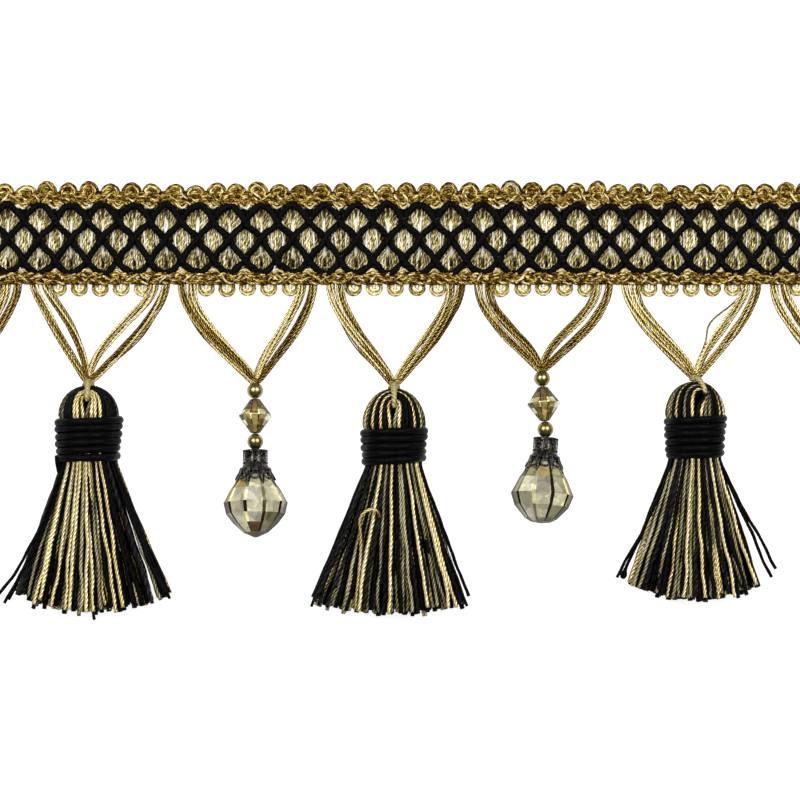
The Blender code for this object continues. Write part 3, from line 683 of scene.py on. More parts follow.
# the middle of no yarn lies lower than this
lowest = 0.6 * MM
hangers = ([], [], [])
for number, unit in enumerate(units, start=1):
    outer_low, outer_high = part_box(f"hanger_outer_{number}")
    middle = unit * unit_pitch
    tassel = number % 2 == 0
    foot_height = outer_high.z - 1.3 * MM if tassel else 2.9 * MM
    # the foot is where the outer loop reaches furthest from the heading
    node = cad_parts[f"hanger_outer_{number}"]
    foot_x = min((v.co for v in node.data.vertices), key=lambda v: v.y).x
    foot_y = outer_low.y - (1.9 if tassel else 0.4) * MM
    reaches, gaps, rise = loop_rows[number]
    # for each bundle: how far its tops are from the loop's middle, how much further up and how much
    # higher its foot lies than the outer one's, and its left and right legs' tones
    for half, lift, drop, tones in (
        (16.3, 0.0, 0.0, (0.62, 0.41)), (13.6, 0.8, 0.35, (0.45, 0.65))
    ):
        legs = []
        for side, sign in enumerate((-1, 1)):
            start = (middle + sign * half * MM, outer_high.y, 2.3 * MM)
            foot = (foot_x + sign * 0.25 * MM, foot_y + lift * MM, foot_height + drop * MM)
            meet = rise * (lift > 0)
            leg = leg_points(
                start, foot, (reaches[side] + rng.uniform(-0.3, 0.3)) * MM,
                (4.8 + 1.2 * meet + rng.uniform(-0.4, 0.4)) * MM, 0.25 - 0.042 * meet,
            )
            if lift:
                leg[:, 0] -= sign * gaps[side] * MM * np.sin(np.pi * np.linspace(0, 1, len(leg)))
            legs.append(leg)
        rate = rng.uniform(0.9, 1.1)
        for yarn in range(6):
            inside = yarn == 5
            sides = []
            for sign, leg in zip((-1, 1), legs):
                t = np.linspace(0, 1, len(leg))
                heading = np.gradient(leg[:, :2], axis=0)
                heading /= np.linalg.norm(heading, axis=1, keepdims=True)
                wind = 2 * np.pi * (yarn / 5 + sign * 0.13) - (2.0 + 2.6 * t) * rate
                wide = (0.80 + 0.10 * np.sin(np.pi * t) ** 2) * rng.uniform(0.85, 1.1) * MM
                wide = wide * (1 - 0.35 * t**3) * (0.25 if inside else 1.0)
                line = leg.copy()
                line[:, 0] -= heading[:, 1] * wide * np.cos(wind)
                line[:, 1] += heading[:, 0] * wide * np.cos(wind)
                line[:, 2] += 0.50 * wide * np.sin(wind)
                line[:, 0] += waver(t, 0.10 * MM, 0.4) * np.sin(np.pi * t)
                line[:, 2] = np.maximum(line[:, 2], lowest)
                sides.append(line)
            line = np.concatenate([sides[0], sides[1][-2::-1]])
            ease(line, 3)
            radius = rng.uniform(0.35, 0.43)
            # the bundles lie at different turns of their twist, so each leg's tone is painted light and shade
            # for how it catches the light; all are darker near the foot
            split = len(sides[0])
            dull = 0.16 * np.linspace(0, 1, split) ** 2
            shade = np.concatenate([tones[0] - dull, (tones[1] - dull)[-2::-1]])
            # the sixth yarn, inside the bundle, is toned darker: a dark yarn that stands for painted shade
            # between the others
            shade = shade - 0.28 if inside else shade + rng.normal(-0.02, 0.19)
            lay(hangers, line, radius, np.clip(shade, 0.08, 1.0))
        for side, (sign, leg) in enumerate(zip((-1, 1), legs)):
            out, down_leg = slipped_plies.get((number, side), (0.0, 0.5))
            if (out > 0 and lift == 0) or (out < 0 and lift > 0):
                t = np.linspace(0, 1, len(leg))
                hump = np.exp(-(((t - down_leg) / 0.17) ** 2))
                line = leg.copy()
                line[:, 0] += sign * (math.copysign(0.9, out) * np.sin(np.pi * t) ** 0.5 + out * hump) * MM
                radius, shade = (0.20, 0.12) if out > 0 else (0.27, 0.30)
                lay(hangers, line, radius, shade)
yarn_piece("hanging_yarns", hangers, gold_yarn, "gold_yarn",
           *[f"hanger_{side}_{k}" for side in ("outer", "inner") for k in range(1, 8)],
           twist=-210, lobe=0.05, plies=4, sides=5)

# --------------------------------------
# The tassels' skirts and heads: one hank of black, gold and dull gold yarns, laid over the tie,
# folded down into a round head, bound at the neck, and cut off to an even length below.
# --------------------------------------
dull_steps = [
    (0.0, (0.005, 0.0045, 0.004)), (0.22, (0.021, 0.019, 0.011)), (0.45, (0.085, 0.075, 0.037)),
    (0.70, (0.27, 0.235, 0.115)), (1.0, (0.62, 0.56, 0.33)),
]
hank_finishes = {
    "gold": gold_yarn,
    "dull": yarn_finish("dull_yarn", dull_steps, depth=0.50, roughness=0.45, gloss=0.04, plies=4,
                        fibre=0.7, streak=1.1, lustre=0.35, wear_and_painted_shade=0.7, patch=0.11),
    "black": yarn_finish("black_yarn", black_steps, depth=0.35, roughness=0.5, gloss=0.04, fibre=0.9),
}
# head is the head's half width and body the skirt's to its left and right, turns how often the
# collar goes round, bow and trimmed how much shorter the skirt is at its sides and all over, slant
# how far the head leans, and pole how many degrees its yarns' parting lies towards the front;
# b is a black yarn, g a gold one and d a dull, greyed one, from left to right across the front;
# a stray is a yarn's place across the skirt, how far it leaves the others, how much longer it is,
# and how late it turns outwards
tassel_rows = [
    {"node": 1, "head": 7.6, "turns": 6, "trimmed": 0.0, "bow": 4.8, "slant": 0.0, "pole": 54,
     "body": (20.2, 21.4), "over": "dgddbbbgggdgggbbbbbdb", "fall": "bbddggbgdggdggdbgbgbbbdbdb",
     "strays": ((-0.86, -5.2, -0.6, 2.4), (-0.80, -5.3, 1.2, 2.4), (-0.9, -2.2, 1.2, 2.4),
                (0.93, 0.6, 1.2, 2.4), (0.07, 0.3, 2.2, 2.4))},
    {"node": 2, "head": 8.0, "turns": 5, "trimmed": 0.0, "bow": 2.6, "slant": 0.0, "pole": 54,
     "body": (21.7, 19.4), "over": "dggdbgbgbgdgbbbgbgddd", "fall": "bbdbdbdgbdbgbbddbgbdbggbd",
     "strays": ((-0.95, -0.6, 1.0, 2.4), (0.9, 1.1, 0.6, 2.4), (0.97, 0.5, -1.5, 2.4))},
    {"node": 3, "head": 7.5, "turns": 6, "trimmed": 1.3, "bow": 3.6, "slant": 0.42, "pole": 44,
     "body": (17.5, 18.2), "over": "bdgdbgbdbgbgddbbgbggb", "fall": "bdbdbbdbdbgdbgbbdbgbddgbb",
     "strays": ((-0.93, -3.6, -1.8, 1.9), (-1.0, -1.4, -1.0, 1.5), (0.97, 3.1, -3.7, 1.2),
                (0.97, 2.2, -1.6, 1.3))},
]


def yarn_shade(letter):
    """The tone of one yarn of that colour."""
    if letter == "b":
        return rng.uniform(0.35, 0.85)
    return tone_near(0.79 if letter == "g" else 0.53, 0.08, 0.2, 1.0)


def middle_of(node):
    """The middle of a CAD node's box."""
    return sum(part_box(node), Vector()) / 2


def neck_of(row):
    """The tassel's own lengths: the middle of its neck, and where its head and skirt begin and end."""
    collar_low, collar_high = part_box(f"tassel_collar_{row['node']}")
    yarn_low, yarn_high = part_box(f"tassel_yarn_{row['node']}")
    middle = middle_of(f"tassel_collar_{row['node']}")
    return {
        "x": middle.x, "z": middle.z, "radius": (collar_high.x - collar_low.x) / 2,
        "top": collar_high.y, "end": collar_low.y, "crown": yarn_high.y, "foot": yarn_low.y,
    }


def skirt_line(row, neck, out, turn, spacing, length=0.0, splay=0.0, late=2.4, lift=0.0):
    """One yarn of the skirt, from inside the neck to its cut end on the table."""
    across, above = out * math.cos(turn), out * math.sin(turn)
    half = row["body"][1 if across > 0 else 0] * MM
    end = neck["foot"] + (row["bow"] * across**2 + row["trimmed"]) * MM + length
    count = int((neck["end"] - end) / spacing) + 8
    t = np.linspace(-0.07, 1.0, count)
    fall = np.clip(t, 0, 1)
    inner = neck["radius"] - 1.75 * MM
    x = neck["x"] + across * (inner + (half - 0.6 * MM - inner) * fall**1.05) + splay * fall**late
    low = 5.1 * MM + above * 4.2 * MM
    z = (neck["z"] + above * inner) + (low - neck["z"] - above * inner) * fall**0.8
    y = neck["end"] + (end - neck["end"]) * t
    size = 0.37 * MM * fall**0.7
    x = x + size * (waver(y, 1.0, 34 * MM) + waver(y, 0.40, 11 * MM))
    z = z + 0.15 * MM * waver(y, 1.0, 27 * MM) + (rng.choice([-0.14, 0.0, 0.14]) * MM + lift) * fall
    return points_at(x, y, np.maximum(z, 0.62 * MM))


def hank_piece(part, colour, row, hank, radius, *nodes, sides=7, lobe=0.05):
    """A piece of all the yarns of one colour in one part of a tassel."""
    yarns, tapers, guides = ([], [], []), [], []
    for yarn in hank:
        if yarn["letter"] == colour[0]:
            lay(yarns, yarn["line"], radius * yarn.get("size", 1.0), yarn["shade"])
            tapers.append(yarn.get("taper", 1.0))
            guides.append(yarn.get("across", (0, 0, 1)))
    yarn_piece(f"{part}_{colour}_{row['node']}", yarns, hank_finishes[colour], "tassel_yarn", *nodes,
               twist=-195, lobe=lobe, plies=4, sides=sides, tapers=tapers, across=guides)


for row in tassel_rows:
    neck = neck_of(row)
    front, core = [], []
    fall = row["fall"]
    for index, letter in enumerate(fall):
        share = (index + 0.5) / len(fall)
        turn = 0.72 * math.acos(2 * share - 1) + 0.28 * math.pi * (1 - share) + rng.normal(0, 0.03)
        # bright gold yarns lie over their neighbours
        over = 1.0 if letter == "g" else 0.45 * (index % 2)
        line = skirt_line(row, neck, rng.uniform(0.93, 0.95) + 0.06 * over, turn, 0.60 * MM,
                          rng.normal(0, 0.5 * MM), rng.normal(0, 0.7 * MM), lift=0.45 * MM * over)
        taper = np.clip(0.72 + np.linspace(0, 0.7, len(line)), 0, 1)
        front.append({"line": line, "letter": letter, "shade": yarn_shade(letter), "taper": taper,
                      "size": rng.uniform(0.84, 1.08)})
    for index in range(34):
        turn = math.pi * (index + rng.uniform(0.1, 0.9)) / 34
        letter = rng.choice(list("bbbbbgddd"))
        line = skirt_line(row, neck, rng.uniform(0.72, 0.82), turn, 0.70 * MM, rng.normal(0, 0.7 * MM))
        # painted shade: these yarns lie under the front ones and are toned darker than the same yarns there
        front.append({"line": line, "letter": letter, "shade": yarn_shade(letter) - 0.12})
    for across, splay, longer, late in row["strays"]:
        line = skirt_line(row, neck, 1.0, math.acos(across), 0.50 * MM, -longer * MM, splay * MM, late)
        stray = {"line": line, "letter": "b", "shade": 0.3, "size": 0.78}
        if across == -1.0:
            # the end of this one is tied in a small knot
            from_end = np.arange(len(line))[::-1]
            stray["taper"] = 1 + 1.1 * np.exp(-(((from_end - 2) / 1.6) ** 2))
        front.append(stray)
    for out, number, start in ((0.95, 30, math.pi), (0.66, 40, 0.0), (0.42, 24, 0.0), (0.18, 9, 0.0)):
        span = math.pi if start else 2 * math.pi
        for index in range(number):
            turn = start + span * (index + rng.uniform(0.1, 0.9)) / number
            letter = rng.choice(list("bbbbgd"))
            line = skirt_line(row, neck, out * rng.uniform(0.93, 1.05), turn, 1.9 * MM,
                              rng.normal(0, 0.6 * MM))
            # painted shade: the core's yarns are toned a little darker
            core.append({"line": line, "letter": letter, "shade": yarn_shade(letter) - 0.06})
    if row["node"] == 2:
        # one gold yarn has been folded back on itself and stands up in a loop
        bend = np.array([(-10.0, -92.4, 7.5), (-9.6, -87, 8.8), (-8.7, -80, 10.4), (-8.5, -74, 12.0),
                         (-9.2, -70.5, 12.9), (-8.2, -68.3, 13.8), (-6.0, -67.3, 14.6), (-4.4, -67.8, 14.4),
                         (-3.9, -69.4, 12.6)]) * MM
        knots = np.linspace(0, 1, len(bend))
        t = np.linspace(0, 1, 110)
        line = np.stack([np.interp(t, knots, bend[:, axis]) for axis in range(3)], -1)
        ease(line, 60)
        front.append({"line": line + np.array([0, 0, 0.6 * MM]), "letter": "g", "shade": 0.62, "size": 0.8})

    for colour in hank_finishes:
        nodes = [f"tassel_yarn_{row['node']}"] if colour == "gold" else []
        hank_piece("skirt", colour, row, front, 0.58 if colour == "black" else 0.53, *nodes)
        hank_piece("skirt_core", colour, row, core, 0.64, sides=6, lobe=0.0)

    # the head: each yarn passes under the tie's strand, and arches out and down to the neck,
    # one arch inside the next
    head = []
    over = row["over"]
    wide = row["head"] * MM - 0.60 * MM
    tall = neck["crown"] - 0.60 * MM - neck["top"]
    for layer, count in ((1.0, 2 * len(over) - 2), (0.88, 34)):
        for index in range(count):
            if layer == 1.0:
                turn = math.pi * (index / (len(over) - 1)) - math.pi / 2
                letter = over[index] if index < len(over) else rng.choice(list("bbbbd"))
            else:
                turn = 2 * math.pi * (index + 0.5) / count
                letter = rng.choice(list("bbbbbbd"))
            turn = (turn + math.pi) % (2 * math.pi) - math.pi + rng.normal(0, 0.02)
            side = math.copysign(1.0, turn)
            tip = math.radians(row["pole"] - (row["pole"] + 58) * (abs(turn) / math.pi) ** 0.85)
            begin = np.array([row["slant"] * max(math.sin(tip), 0.0), math.cos(tip), math.sin(tip)])
            begin /= np.linalg.norm(begin)
            end = np.array([math.sin(turn), 0.0, math.cos(turn)])
            span = math.acos(np.clip(begin @ end, -1, 1))
            t = np.linspace(-0.06, 1.0, 24)[:, None]
            leave = begin + 0.40 * span * np.array([side, -0.25 * side * row["slant"], 0.0])
            arch = soft_curve(t, begin, leave, end + np.array([0, 0.50, 0]) * span, end)
            arch /= np.linalg.norm(arch, axis=1, keepdims=True)
            arch = arch * np.array([wide, tall, wide]) * layer
            tail = np.linspace(0.0, 1.0, 6)[1:, None]
            tuck = 1 - (1 - 5.8 * MM / wide) * tail**1.3
            dive = arch[-1] * tuck + np.array([0.0, -2.6 * MM, 0.0]) * tail
            arch = np.concatenate([arch, dive])
            arch = arch + np.array([neck["x"], neck["top"] + 0.3 * MM, neck["z"]])
            arch[:, 2] = np.maximum(arch[:, 2], lowest)
            reach = np.linalg.norm(arch - arch[0], axis=1)
            outward = begin + 0.9 * end
            # painted shade: the head's yarns are toned darker than the same yarns in the skirt, and those of
            # the inner layer darker still
            head.append({
                "line": arch, "letter": letter, "shade": yarn_shade(letter) - (0.22 if layer < 1 else 0.15),
                "taper": np.clip(0.72 + 0.28 * reach / (4.0 * MM), 0.5, 1.0),
                "across": tuple(outward + np.array([0.01, 0.02, 0.0])),
            })
    # straight black yarns fill the middle of the head
    for side in np.linspace(-3.6, 3.6, 8):
        y = np.linspace(neck["top"] - 1.5 * MM, neck["top"] + (0.80 - 0.03 * abs(side)) * tall, 8)
        line = points_at(neck["x"] + side * MM, y, neck["z"] + 1.8 * MM)
        head.append({"line": line, "letter": "b", "shade": 0.25})
    for colour in hank_finishes:
        hank_piece("head", colour, row, head, 0.60 if colour == "black" else 0.50)

# --------------------------------------
# The collars: smooth black cord wound five or six times round each tassel's neck, each turn
# against the last. Its ends are tucked away under the turns, all but one on the first tassel.
# --------------------------------------
black_satin = yarn_finish(
    "black_satin", black_steps, depth=0.0, roughness=0.38, gloss=0.032, plies=1, fibre=1.3, streak=0.5,
    relief=0.8,
)
for row in tassel_rows:
    neck = neck_of(row)
    turns = row["turns"]
    pitch = (neck["top"] - neck["end"]) / turns
    cord = 0.52 * pitch
    angle = np.arange(0, 2 * np.pi * (turns - 0.15), 0.09)
    wound = angle / (2 * np.pi)
    reach = neck["radius"] - cord + 0.16 * MM * waver(wound, 1.0, 0.9) - 0.10 * MM * wound
    x = neck["x"] + reach * np.cos(angle)
    z = neck["z"] + reach * np.sin(angle)
    level = np.clip((wound - 0.15) / (turns - 0.75), 0, 1)
    y = neck["top"] - cord - (neck["top"] - neck["end"] - 2 * cord) * level
    y = y + 0.12 * MM * waver(wound, 1.0, 0.8) + 0.14 * MM * waver(wound, 1.0, 2.7)
    cords = ([], [], [])
    lay(cords, points_at(x, y, np.maximum(z, cord)), cord / MM, 0.4)
    if row["node"] == 1:
        # the cut end of the cord has come out at the lower left, and hangs beside the skirt
        t = np.linspace(0, 1, 22)
        line = points_at(neck["x"] - (7.35 - 0.5 * t**2) * MM, neck["end"] + (1.6 - 4.1 * t) * MM,
                         neck["z"] + (3.0 - 1.0 * t) * MM)
        lay(cords, line, 0.88, 0.4)
    yarn_piece(f"neck_cord_{row['node']}", cords, black_satin, "black_cord", f"tassel_collar_{row['node']}",
               twist=150, lobe=0.0, sides=12, across=[(0, 1, 0), (0, 0, 1)])

# --------------------------------------
# The ties: pale gold yarn that holds the folded hank to the foot of its loop. It is wound between
# the two, and a strand of it runs down over the front of the head to where the yarns part.
# --------------------------------------
pale_steps = [
    (0.0, (0.05, 0.03, 0.006)), (0.3, (0.24, 0.17, 0.05)), (0.6, (0.52, 0.43, 0.19)),
    (0.85, (0.74, 0.66, 0.40)), (1.0, (0.88, 0.83, 0.62)),
]
pale_yarn = yarn_finish("pale_gold_yarn", pale_steps, depth=0.30, roughness=0.46, gloss=0.3, lustre=0.4)
for row in tassel_rows:
    neck = neck_of(row)
    knot = middle_of(f"tassel_tie_{row['node']}")
    knot.y -= 0.9 * MM
    tie = ([], [], [])
    angle = np.arange(0, 2 * np.pi * 3.4, 0.14)
    rise = angle / angle[-1]
    wide = (1.02 + 0.18 * np.cos(np.pi * rise)) * MM
    line = points_at(
        knot.x + wide * np.cos(angle),
        knot.y + (-0.5 + 1.3 * rise) * MM - 0.35 * row["slant"] * wide * np.cos(angle) * 2,
        knot.z + 0.75 * wide * np.sin(angle),
    )
    # painted shade: the wrap is toned darker than the strands over the head
    lay(tie, line, 0.46, 0.38)
    pole = math.radians(row["pole"] + 9)
    wide = row["head"] * MM + 0.10 * MM
    tall = neck["crown"] - neck["top"]
    for strand, shade in ((-1, 0.46), (0, 0.60), (1, 0.42)):
        bend = np.linspace(math.radians(4), pole, 30)
        run = (bend - bend[0]) / (bend[-1] - bend[0])
        side = row["slant"] * np.sin(bend) * wide * 0.9 + strand * (0.52 - 0.42 * run) * MM
        line = points_at(
            knot.x * (1 - run) + neck["x"] * run + side,
            neck["top"] + 0.3 * MM + (tall + 0.25 * MM) * np.cos(bend) + 0.4 * MM * (1 - run),
            neck["z"] + np.sqrt(np.maximum((wide * np.sin(bend)) ** 2 - side**2, (0.5 * MM) ** 2))
            + (0.35 - abs(strand) * 0.2 - 1.3 * np.clip(run - 0.8, 0, 1) * 5 * run) * MM,
        )
        lay(tie, line, 0.48 - 0.04 * abs(strand), shade)
    yarn_piece(f"tassel_tie_yarn_{row['node']}", tie, pale_yarn, "gold_yarn", f"tassel_tie_{row['node']}",
               twist=420, lobe=0.12, across=[(0, 1, 0)] + 3 * [(1, 0, 0.1)])

# --------------------------------------
# The bead drops: strung on gold thread below the loop's foot are a round gilt bead, a cut bicone
# with an amber heart, a second round bead, and a pierced bell cap of aged brass glued over the
# top of a cut, champagne-coloured pendant.
# --------------------------------------
def turned(profile, angle):
    """Points and faces at those angles about Z, from (radius, height) pairs in millimetres."""
    radius, height = np.array(profile, float).T * MM
    co = np.stack([radius[:, None] * np.cos(angle), radius[:, None] * np.sin(angle),
                   np.repeat(height[:, None], len(angle), 1)], -1).reshape(-1, 3)
    grid = np.arange(len(co)).reshape(len(radius), len(angle))
    ahead = np.roll(grid, -1, axis=1)
    faces = np.stack([grid[:-1], ahead[:-1], ahead[1:], grid[1:]], -1).reshape(-1, 4)
    return co, faces


def wire_ring(centre, out, along, width, height, thick, steps=14, sides=6):
    """A ring of round wire that lies in the plane of the two directions, in millimetres."""
    turn = full_turn(steps)
    middle = centre + (width * np.cos(turn))[:, None] * out + (height * np.sin(turn))[:, None] * along
    face = np.cross(out, along)
    spoke = np.cos(turn)[:, None] * out + np.sin(turn)[:, None] * along
    around = full_turn(sides)
    co = (middle[:, None] + thick * np.cos(around)[None, :, None] * spoke[:, None]
          + thick * np.sin(around)[None, :, None] * face).reshape(-1, 3) * MM
    grid = np.arange(len(co)).reshape(steps, sides)
    ahead, beside = np.roll(grid, -1, 0), np.roll(grid, -1, 1)
    faces = np.stack([grid, ahead, np.roll(ahead, -1, 1), beside], -1).reshape(-1, 4)
    return co, faces


def joined(name, parts):
    """One smooth mesh of (points, faces) parts."""
    points, faces, base = [], [], 0
    for co, quads in parts:
        points.append(co)
        faces += (np.asarray(quads) + base).tolist()
        base += len(co)
    mesh = bpy.data.meshes.new(name)
    mesh.from_pydata(np.concatenate(points).tolist(), [], faces)
    mesh.validate()
    mesh.shade_smooth()
    return mesh


# what a facet shows: the stone's own colour with painted light on it, the pale, dark or glinting light that
# comes back through the stone, which differs from one facet to the next
stone_tints_and_painted_light = {
    "w": (0.65, 0.62, 0.42), "c": (0.52, 0.50, 0.335), "g": (0.45, 0.43, 0.285), "m": (0.39, 0.345, 0.27),
    "s": (0.21, 0.20, 0.10), "o": (0.085, 0.072, 0.032), "b": (0.026, 0.015, 0.006), "a": (0.50, 0.37, 0.10),
    "h": (0.20, 0.13, 0.036), "n": (0.095, 0.062, 0.018), "e": (0.66, 0.72, 0.56), "d": (0.045, 0.062, 0.018),
    "k": (0.36, 0.275, 0.10), "y": (0.95, 0.82, 0.42), "u": (0.14, 0.075, 0.040), "p": (0.48, 0.45, 0.36),
}


def cut_stone(name, rings, facets, seams, gap, rim):
    """A faceted stone about Z: rings of (radius, height) in millimetres, wide facets with a narrow
    one, gap degrees wide, between each two. facets and seams hold one row of letters, each a colour
    with painted light, for each ring to the next, and the letter for the facet that faces up is the
    middle one. rim is how many degrees of each side are painted dark, as shade."""
    columns = len(facets[0])
    pitch = 360 / columns
    first = 90 + pitch * (columns // 2)
    half = (pitch - gap) / 2
    angles = [first + pitch * column + side * half for column in range(columns) for side in (-1, 1)]
    around = 2 * columns
    co, faces = turned(rings, np.radians(angles))
    ends = [list(range(around))[::-1], list(range(len(co) - around, len(co)))]
    tints_and_painted_light = [stone_tints_and_painted_light[letter] for facet_row, seam_row in zip(facets, seams)
             for pair in zip(facet_row, seam_row) for letter in pair] + 2 * [stone_tints_and_painted_light["n"]]
    mesh = bpy.data.meshes.new(name)
    mesh.from_pydata(co.tolist(), [], faces.tolist() + ends)
    tint_and_painted_light = mesh.attributes.new("tint_and_painted_light", "FLOAT_COLOR", "CORNER")
    colours = []
    for polygon in mesh.polygons:
        for vertex in polygon.vertices:
            # painted shade: facets that stand on edge to the light are painted dark towards the rim
            off_side = 90 - abs((angles[vertex % around] - 90 + 180) % 360 - 180)
            level = (0.78 + 0.6 * rng.random()) * (1 - 0.96 * math.exp(-((off_side / rim) ** 2)))
            colours.append([v * level for v in tints_and_painted_light[polygon.index]] + [1.0])
    tint_and_painted_light.data.foreach_set("color", np.array(colours, "f").reshape(-1))
    return mesh


def add_roughness(tree, shader, value, slope, least):
    """Makes the surface rougher where the value is greater."""
    tree.links.new(reckon(tree, "MULTIPLY_ADD", value, slope, least), shader.inputs["Roughness"])


def gilt_finish():
    """Pale gold plating, polished, with faint wear, tiny dents and a warmer tone in the hollows."""
    finish, tree, shader = new_finish("gilt_bead", {"Metallic": 0.95})
    wear = noise(tree, object_place(tree), scale=900.0, detail=4.0)
    steps = [(0.35, (0.22, 0.180, 0.060)), (0.6, (0.32, 0.27, 0.115)), (0.8, (0.46, 0.40, 0.22))]
    colour_steps(tree, shader, wear, steps)
    add_roughness(tree, shader, wear, slope=0.16, least=0.21)
    add_bump(tree, shader, wear, strength=0.1, distance=0.05 * MM)
    return finish


def crystal_finish(name, clear, grain, sparkle):
    """Cut, tinted crystal: each facet has its own colour and painted light, broken by a painted
    refraction of the facets seen through it.

    sparkle is how large a share of its depths is painted with glints, as if it flashed back the light."""
    # the flashes of cut glass are tinted by the stone, so they are made here as thin metal plating would
    finish, tree, shader = new_finish(name, {
        "Transmission Weight": clear, "IOR": 1.5, "Metallic": 0.22, "Specular IOR Level": 0.0,
    })
    where = object_place(tree)
    tint_and_painted_light = add_node(tree, "ShaderNodeAttribute", attribute_name="tint_and_painted_light").outputs["Color"]
    # painted refraction: cells that lighten or darken the facets, for the facets seen through them
    painted_refraction = add_node(tree, "ShaderNodeTexVoronoi", {"Vector": where, "Scale": grain})
    split = add_node(tree, "ShaderNodeSeparateColor", {0: painted_refraction.outputs["Color"]}).outputs[0]
    level = reckon(tree, "MULTIPLY_ADD", split, 0.80, 0.28)
    cloud = noise(tree, where, scale=2.2 * grain, detail=3.0)
    level = reckon(tree, "MULTIPLY_ADD", cloud, 0.60, level)
    whole = add_node(tree, "ShaderNodeVectorMath", {0: tint_and_painted_light, "Scale": level}, operation="SCALE")
    # painted glints: small bright flecks in the stone's depths
    spark = add_node(tree, "ShaderNodeTexVoronoi", {"Vector": where, "Scale": 2.1 * grain})
    flash = reckon(tree, "MULTIPLY_ADD", spark.outputs["Distance"], -9.0, 9.0 * sparkle)
    flash = add_node(tree, "ShaderNodeClamp", {0: flash}).outputs[0]
    painted_glints = add_node(
        tree, "ShaderNodeCombineXYZ",
        {"X": reckon(tree, "MULTIPLY", flash, 0.70), "Y": reckon(tree, "MULTIPLY", flash, 0.60),
         "Z": reckon(tree, "MULTIPLY", flash, 0.32)},
    )
    lit = add_node(tree, "ShaderNodeVectorMath", {0: whole.outputs[0], 1: painted_glints.outputs[0]}, operation="ADD")
    tree.links.new(lit.outputs[0], shader.inputs["Base Color"])
    scratches = noise(tree, where, scale=2500.0, detail=3.0)
    add_roughness(tree, shader, scratches, slope=0.06, least=0.03)
    return finish


def aged_brass_finish():
    """Dark antique brass: brown-black in the hollows, worn brighter on what stands proud."""
    finish, tree, shader = new_finish("aged_brass", {"Metallic": 0.9})
    where = object_place(tree)
    cells = add_node(tree, "ShaderNodeTexVoronoi", {"Vector": where, "Scale": 1900.0})
    grime = noise(tree, where, scale=700.0, detail=5.0)
    wear_and_painted_shade = reckon(tree, "MULTIPLY_ADD", cells.outputs["Distance"], 0.7, grime)
    steps = [(0.4, (0.006, 0.0055, 0.0055)), (0.75, (0.020, 0.018, 0.016)), (1.0, (0.085, 0.080, 0.068))]
    colour_steps(tree, shader, wear_and_painted_shade, steps)
    add_roughness(tree, shader, grime, slope=0.35, least=0.14)
    add_bump(tree, shader, wear_and_painted_shade, strength=0.7, distance=0.12 * MM)
    return finish


def directions(angle):
    """Outwards from Z at that angle, and the way round there."""
    return (np.array([math.cos(angle), math.sin(angle), 0.0]),
            np.array([-math.sin(angle), math.cos(angle), 0.0]))


def bell_cap(name, spread, leaf_end):
    """The cap, its top at 0: a collar of scrolls between two corded rims, a flared shoulder, and
    below it eight eyelets with a pointed leaf between each two. spread is how far the shoulder
    flares, and leaf_end how far down the leaves reach, in millimetres."""
    wall, bore = 2.72, 2.35
    shoulder = [(bore, -3.5), (bore, -0.5), (0.75, -0.35), (0.75, 0.0), (2.75, 0.0), (2.95, -0.35),
                (wall, -0.75), (wall, -2.9), (wall + 0.30 * spread, -3.5), (wall + 0.83 * spread, -4.5),
                (wall + 1.40 * spread, -5.6), (2.52 + 1.40 * spread, -5.65), (wall + 0.50 * spread, -4.4),
                (bore, -3.5)]
    parts = [turned(shoulder, full_turn(40))]
    up = np.array([0.0, 0.0, 1.0])
    for angle in full_turn(18):
        out, round_way = directions(angle)
        for height in (-0.3, -3.25):
            centre = out * 2.98 + up * height
            parts.append(wire_ring(centre, round_way, up, 0.22, 0.16, 0.17, steps=8, sides=5))
    for k in range(8):
        out, round_way = directions(np.pi * k / 4)
        steep = up * 0.88 - out * 0.47
        for reach, height, along, *sizes in (
            (2.92, -1.25, up, 0.62, 0.50, 0.17), (2.92, -2.35, up, 0.40, 0.36, 0.16),
            (wall + 1.10 * spread, -4.75, steep, 0.42, 0.30, 0.15),
            (wall + 1.85 * spread, -6.60, steep, 1.10, 0.90, 0.25),
        ):
            parts.append(wire_ring(out * reach + up * height, round_way, along, *sizes))
        out, round_way = directions(np.pi * k / 4 + np.pi / 8)
        run = np.linspace(0, 1, 10)
        flare = [wall + 1.1 * spread, wall + 1.85 * spread, wall + 2.3 * spread, wall + 3.0 * spread]
        leaf_radius = np.interp(run, [0, 0.35, 0.6, 1], flare)
        leaf_height = np.interp(run, [0, 1], [-4.6, leaf_end])
        half = np.interp(run, [0, 0.3, 0.55, 0.75, 1.0], [0.75, 0.80, 0.55, 0.45, 0.04])
        rib = np.stack([out * (r + 0.26) + up * h for r, h in zip(leaf_radius, leaf_height)])
        back = np.stack([out * (r - 0.10) + up * h for r, h in zip(leaf_radius, leaf_height)])
        left = back + half[:, None] * round_way + 0.10 * out
        right = back - half[:, None] * round_way + 0.10 * out
        co = np.stack([rib, left, back, right], 1).reshape(-1, 3) * MM
        grid = np.arange(len(co)).reshape(-1, 4)
        beside = np.roll(grid, -1, 1)
        quads = np.stack([grid[:-1], beside[:-1], beside[1:], grid[1:]], -1).reshape(-1, 4)
        parts.append((co, quads))
    return joined(name, parts)


gilt = gilt_finish()
amber_crystal = crystal_finish("clear_bead", clear=0.04, grain=800.0, sparkle=0.20)
cut_crystal = crystal_finish("cut_pendant", clear=0.04, grain=470.0, sparkle=0.10)
aged_brass = aged_brass_finish()


def set_along(piece, place, down):
    """Puts a turned piece in place, its own Z back up the thread and its own Y towards the sky."""
    back = -down.normalized()
    sky = (Vector((0, 0, 1)) - back * back.z).normalized()
    turn = Matrix((sky.cross(back), sky, back)).transposed().to_4x4()
    piece.data.transform(Matrix.Translation(place) @ turn)


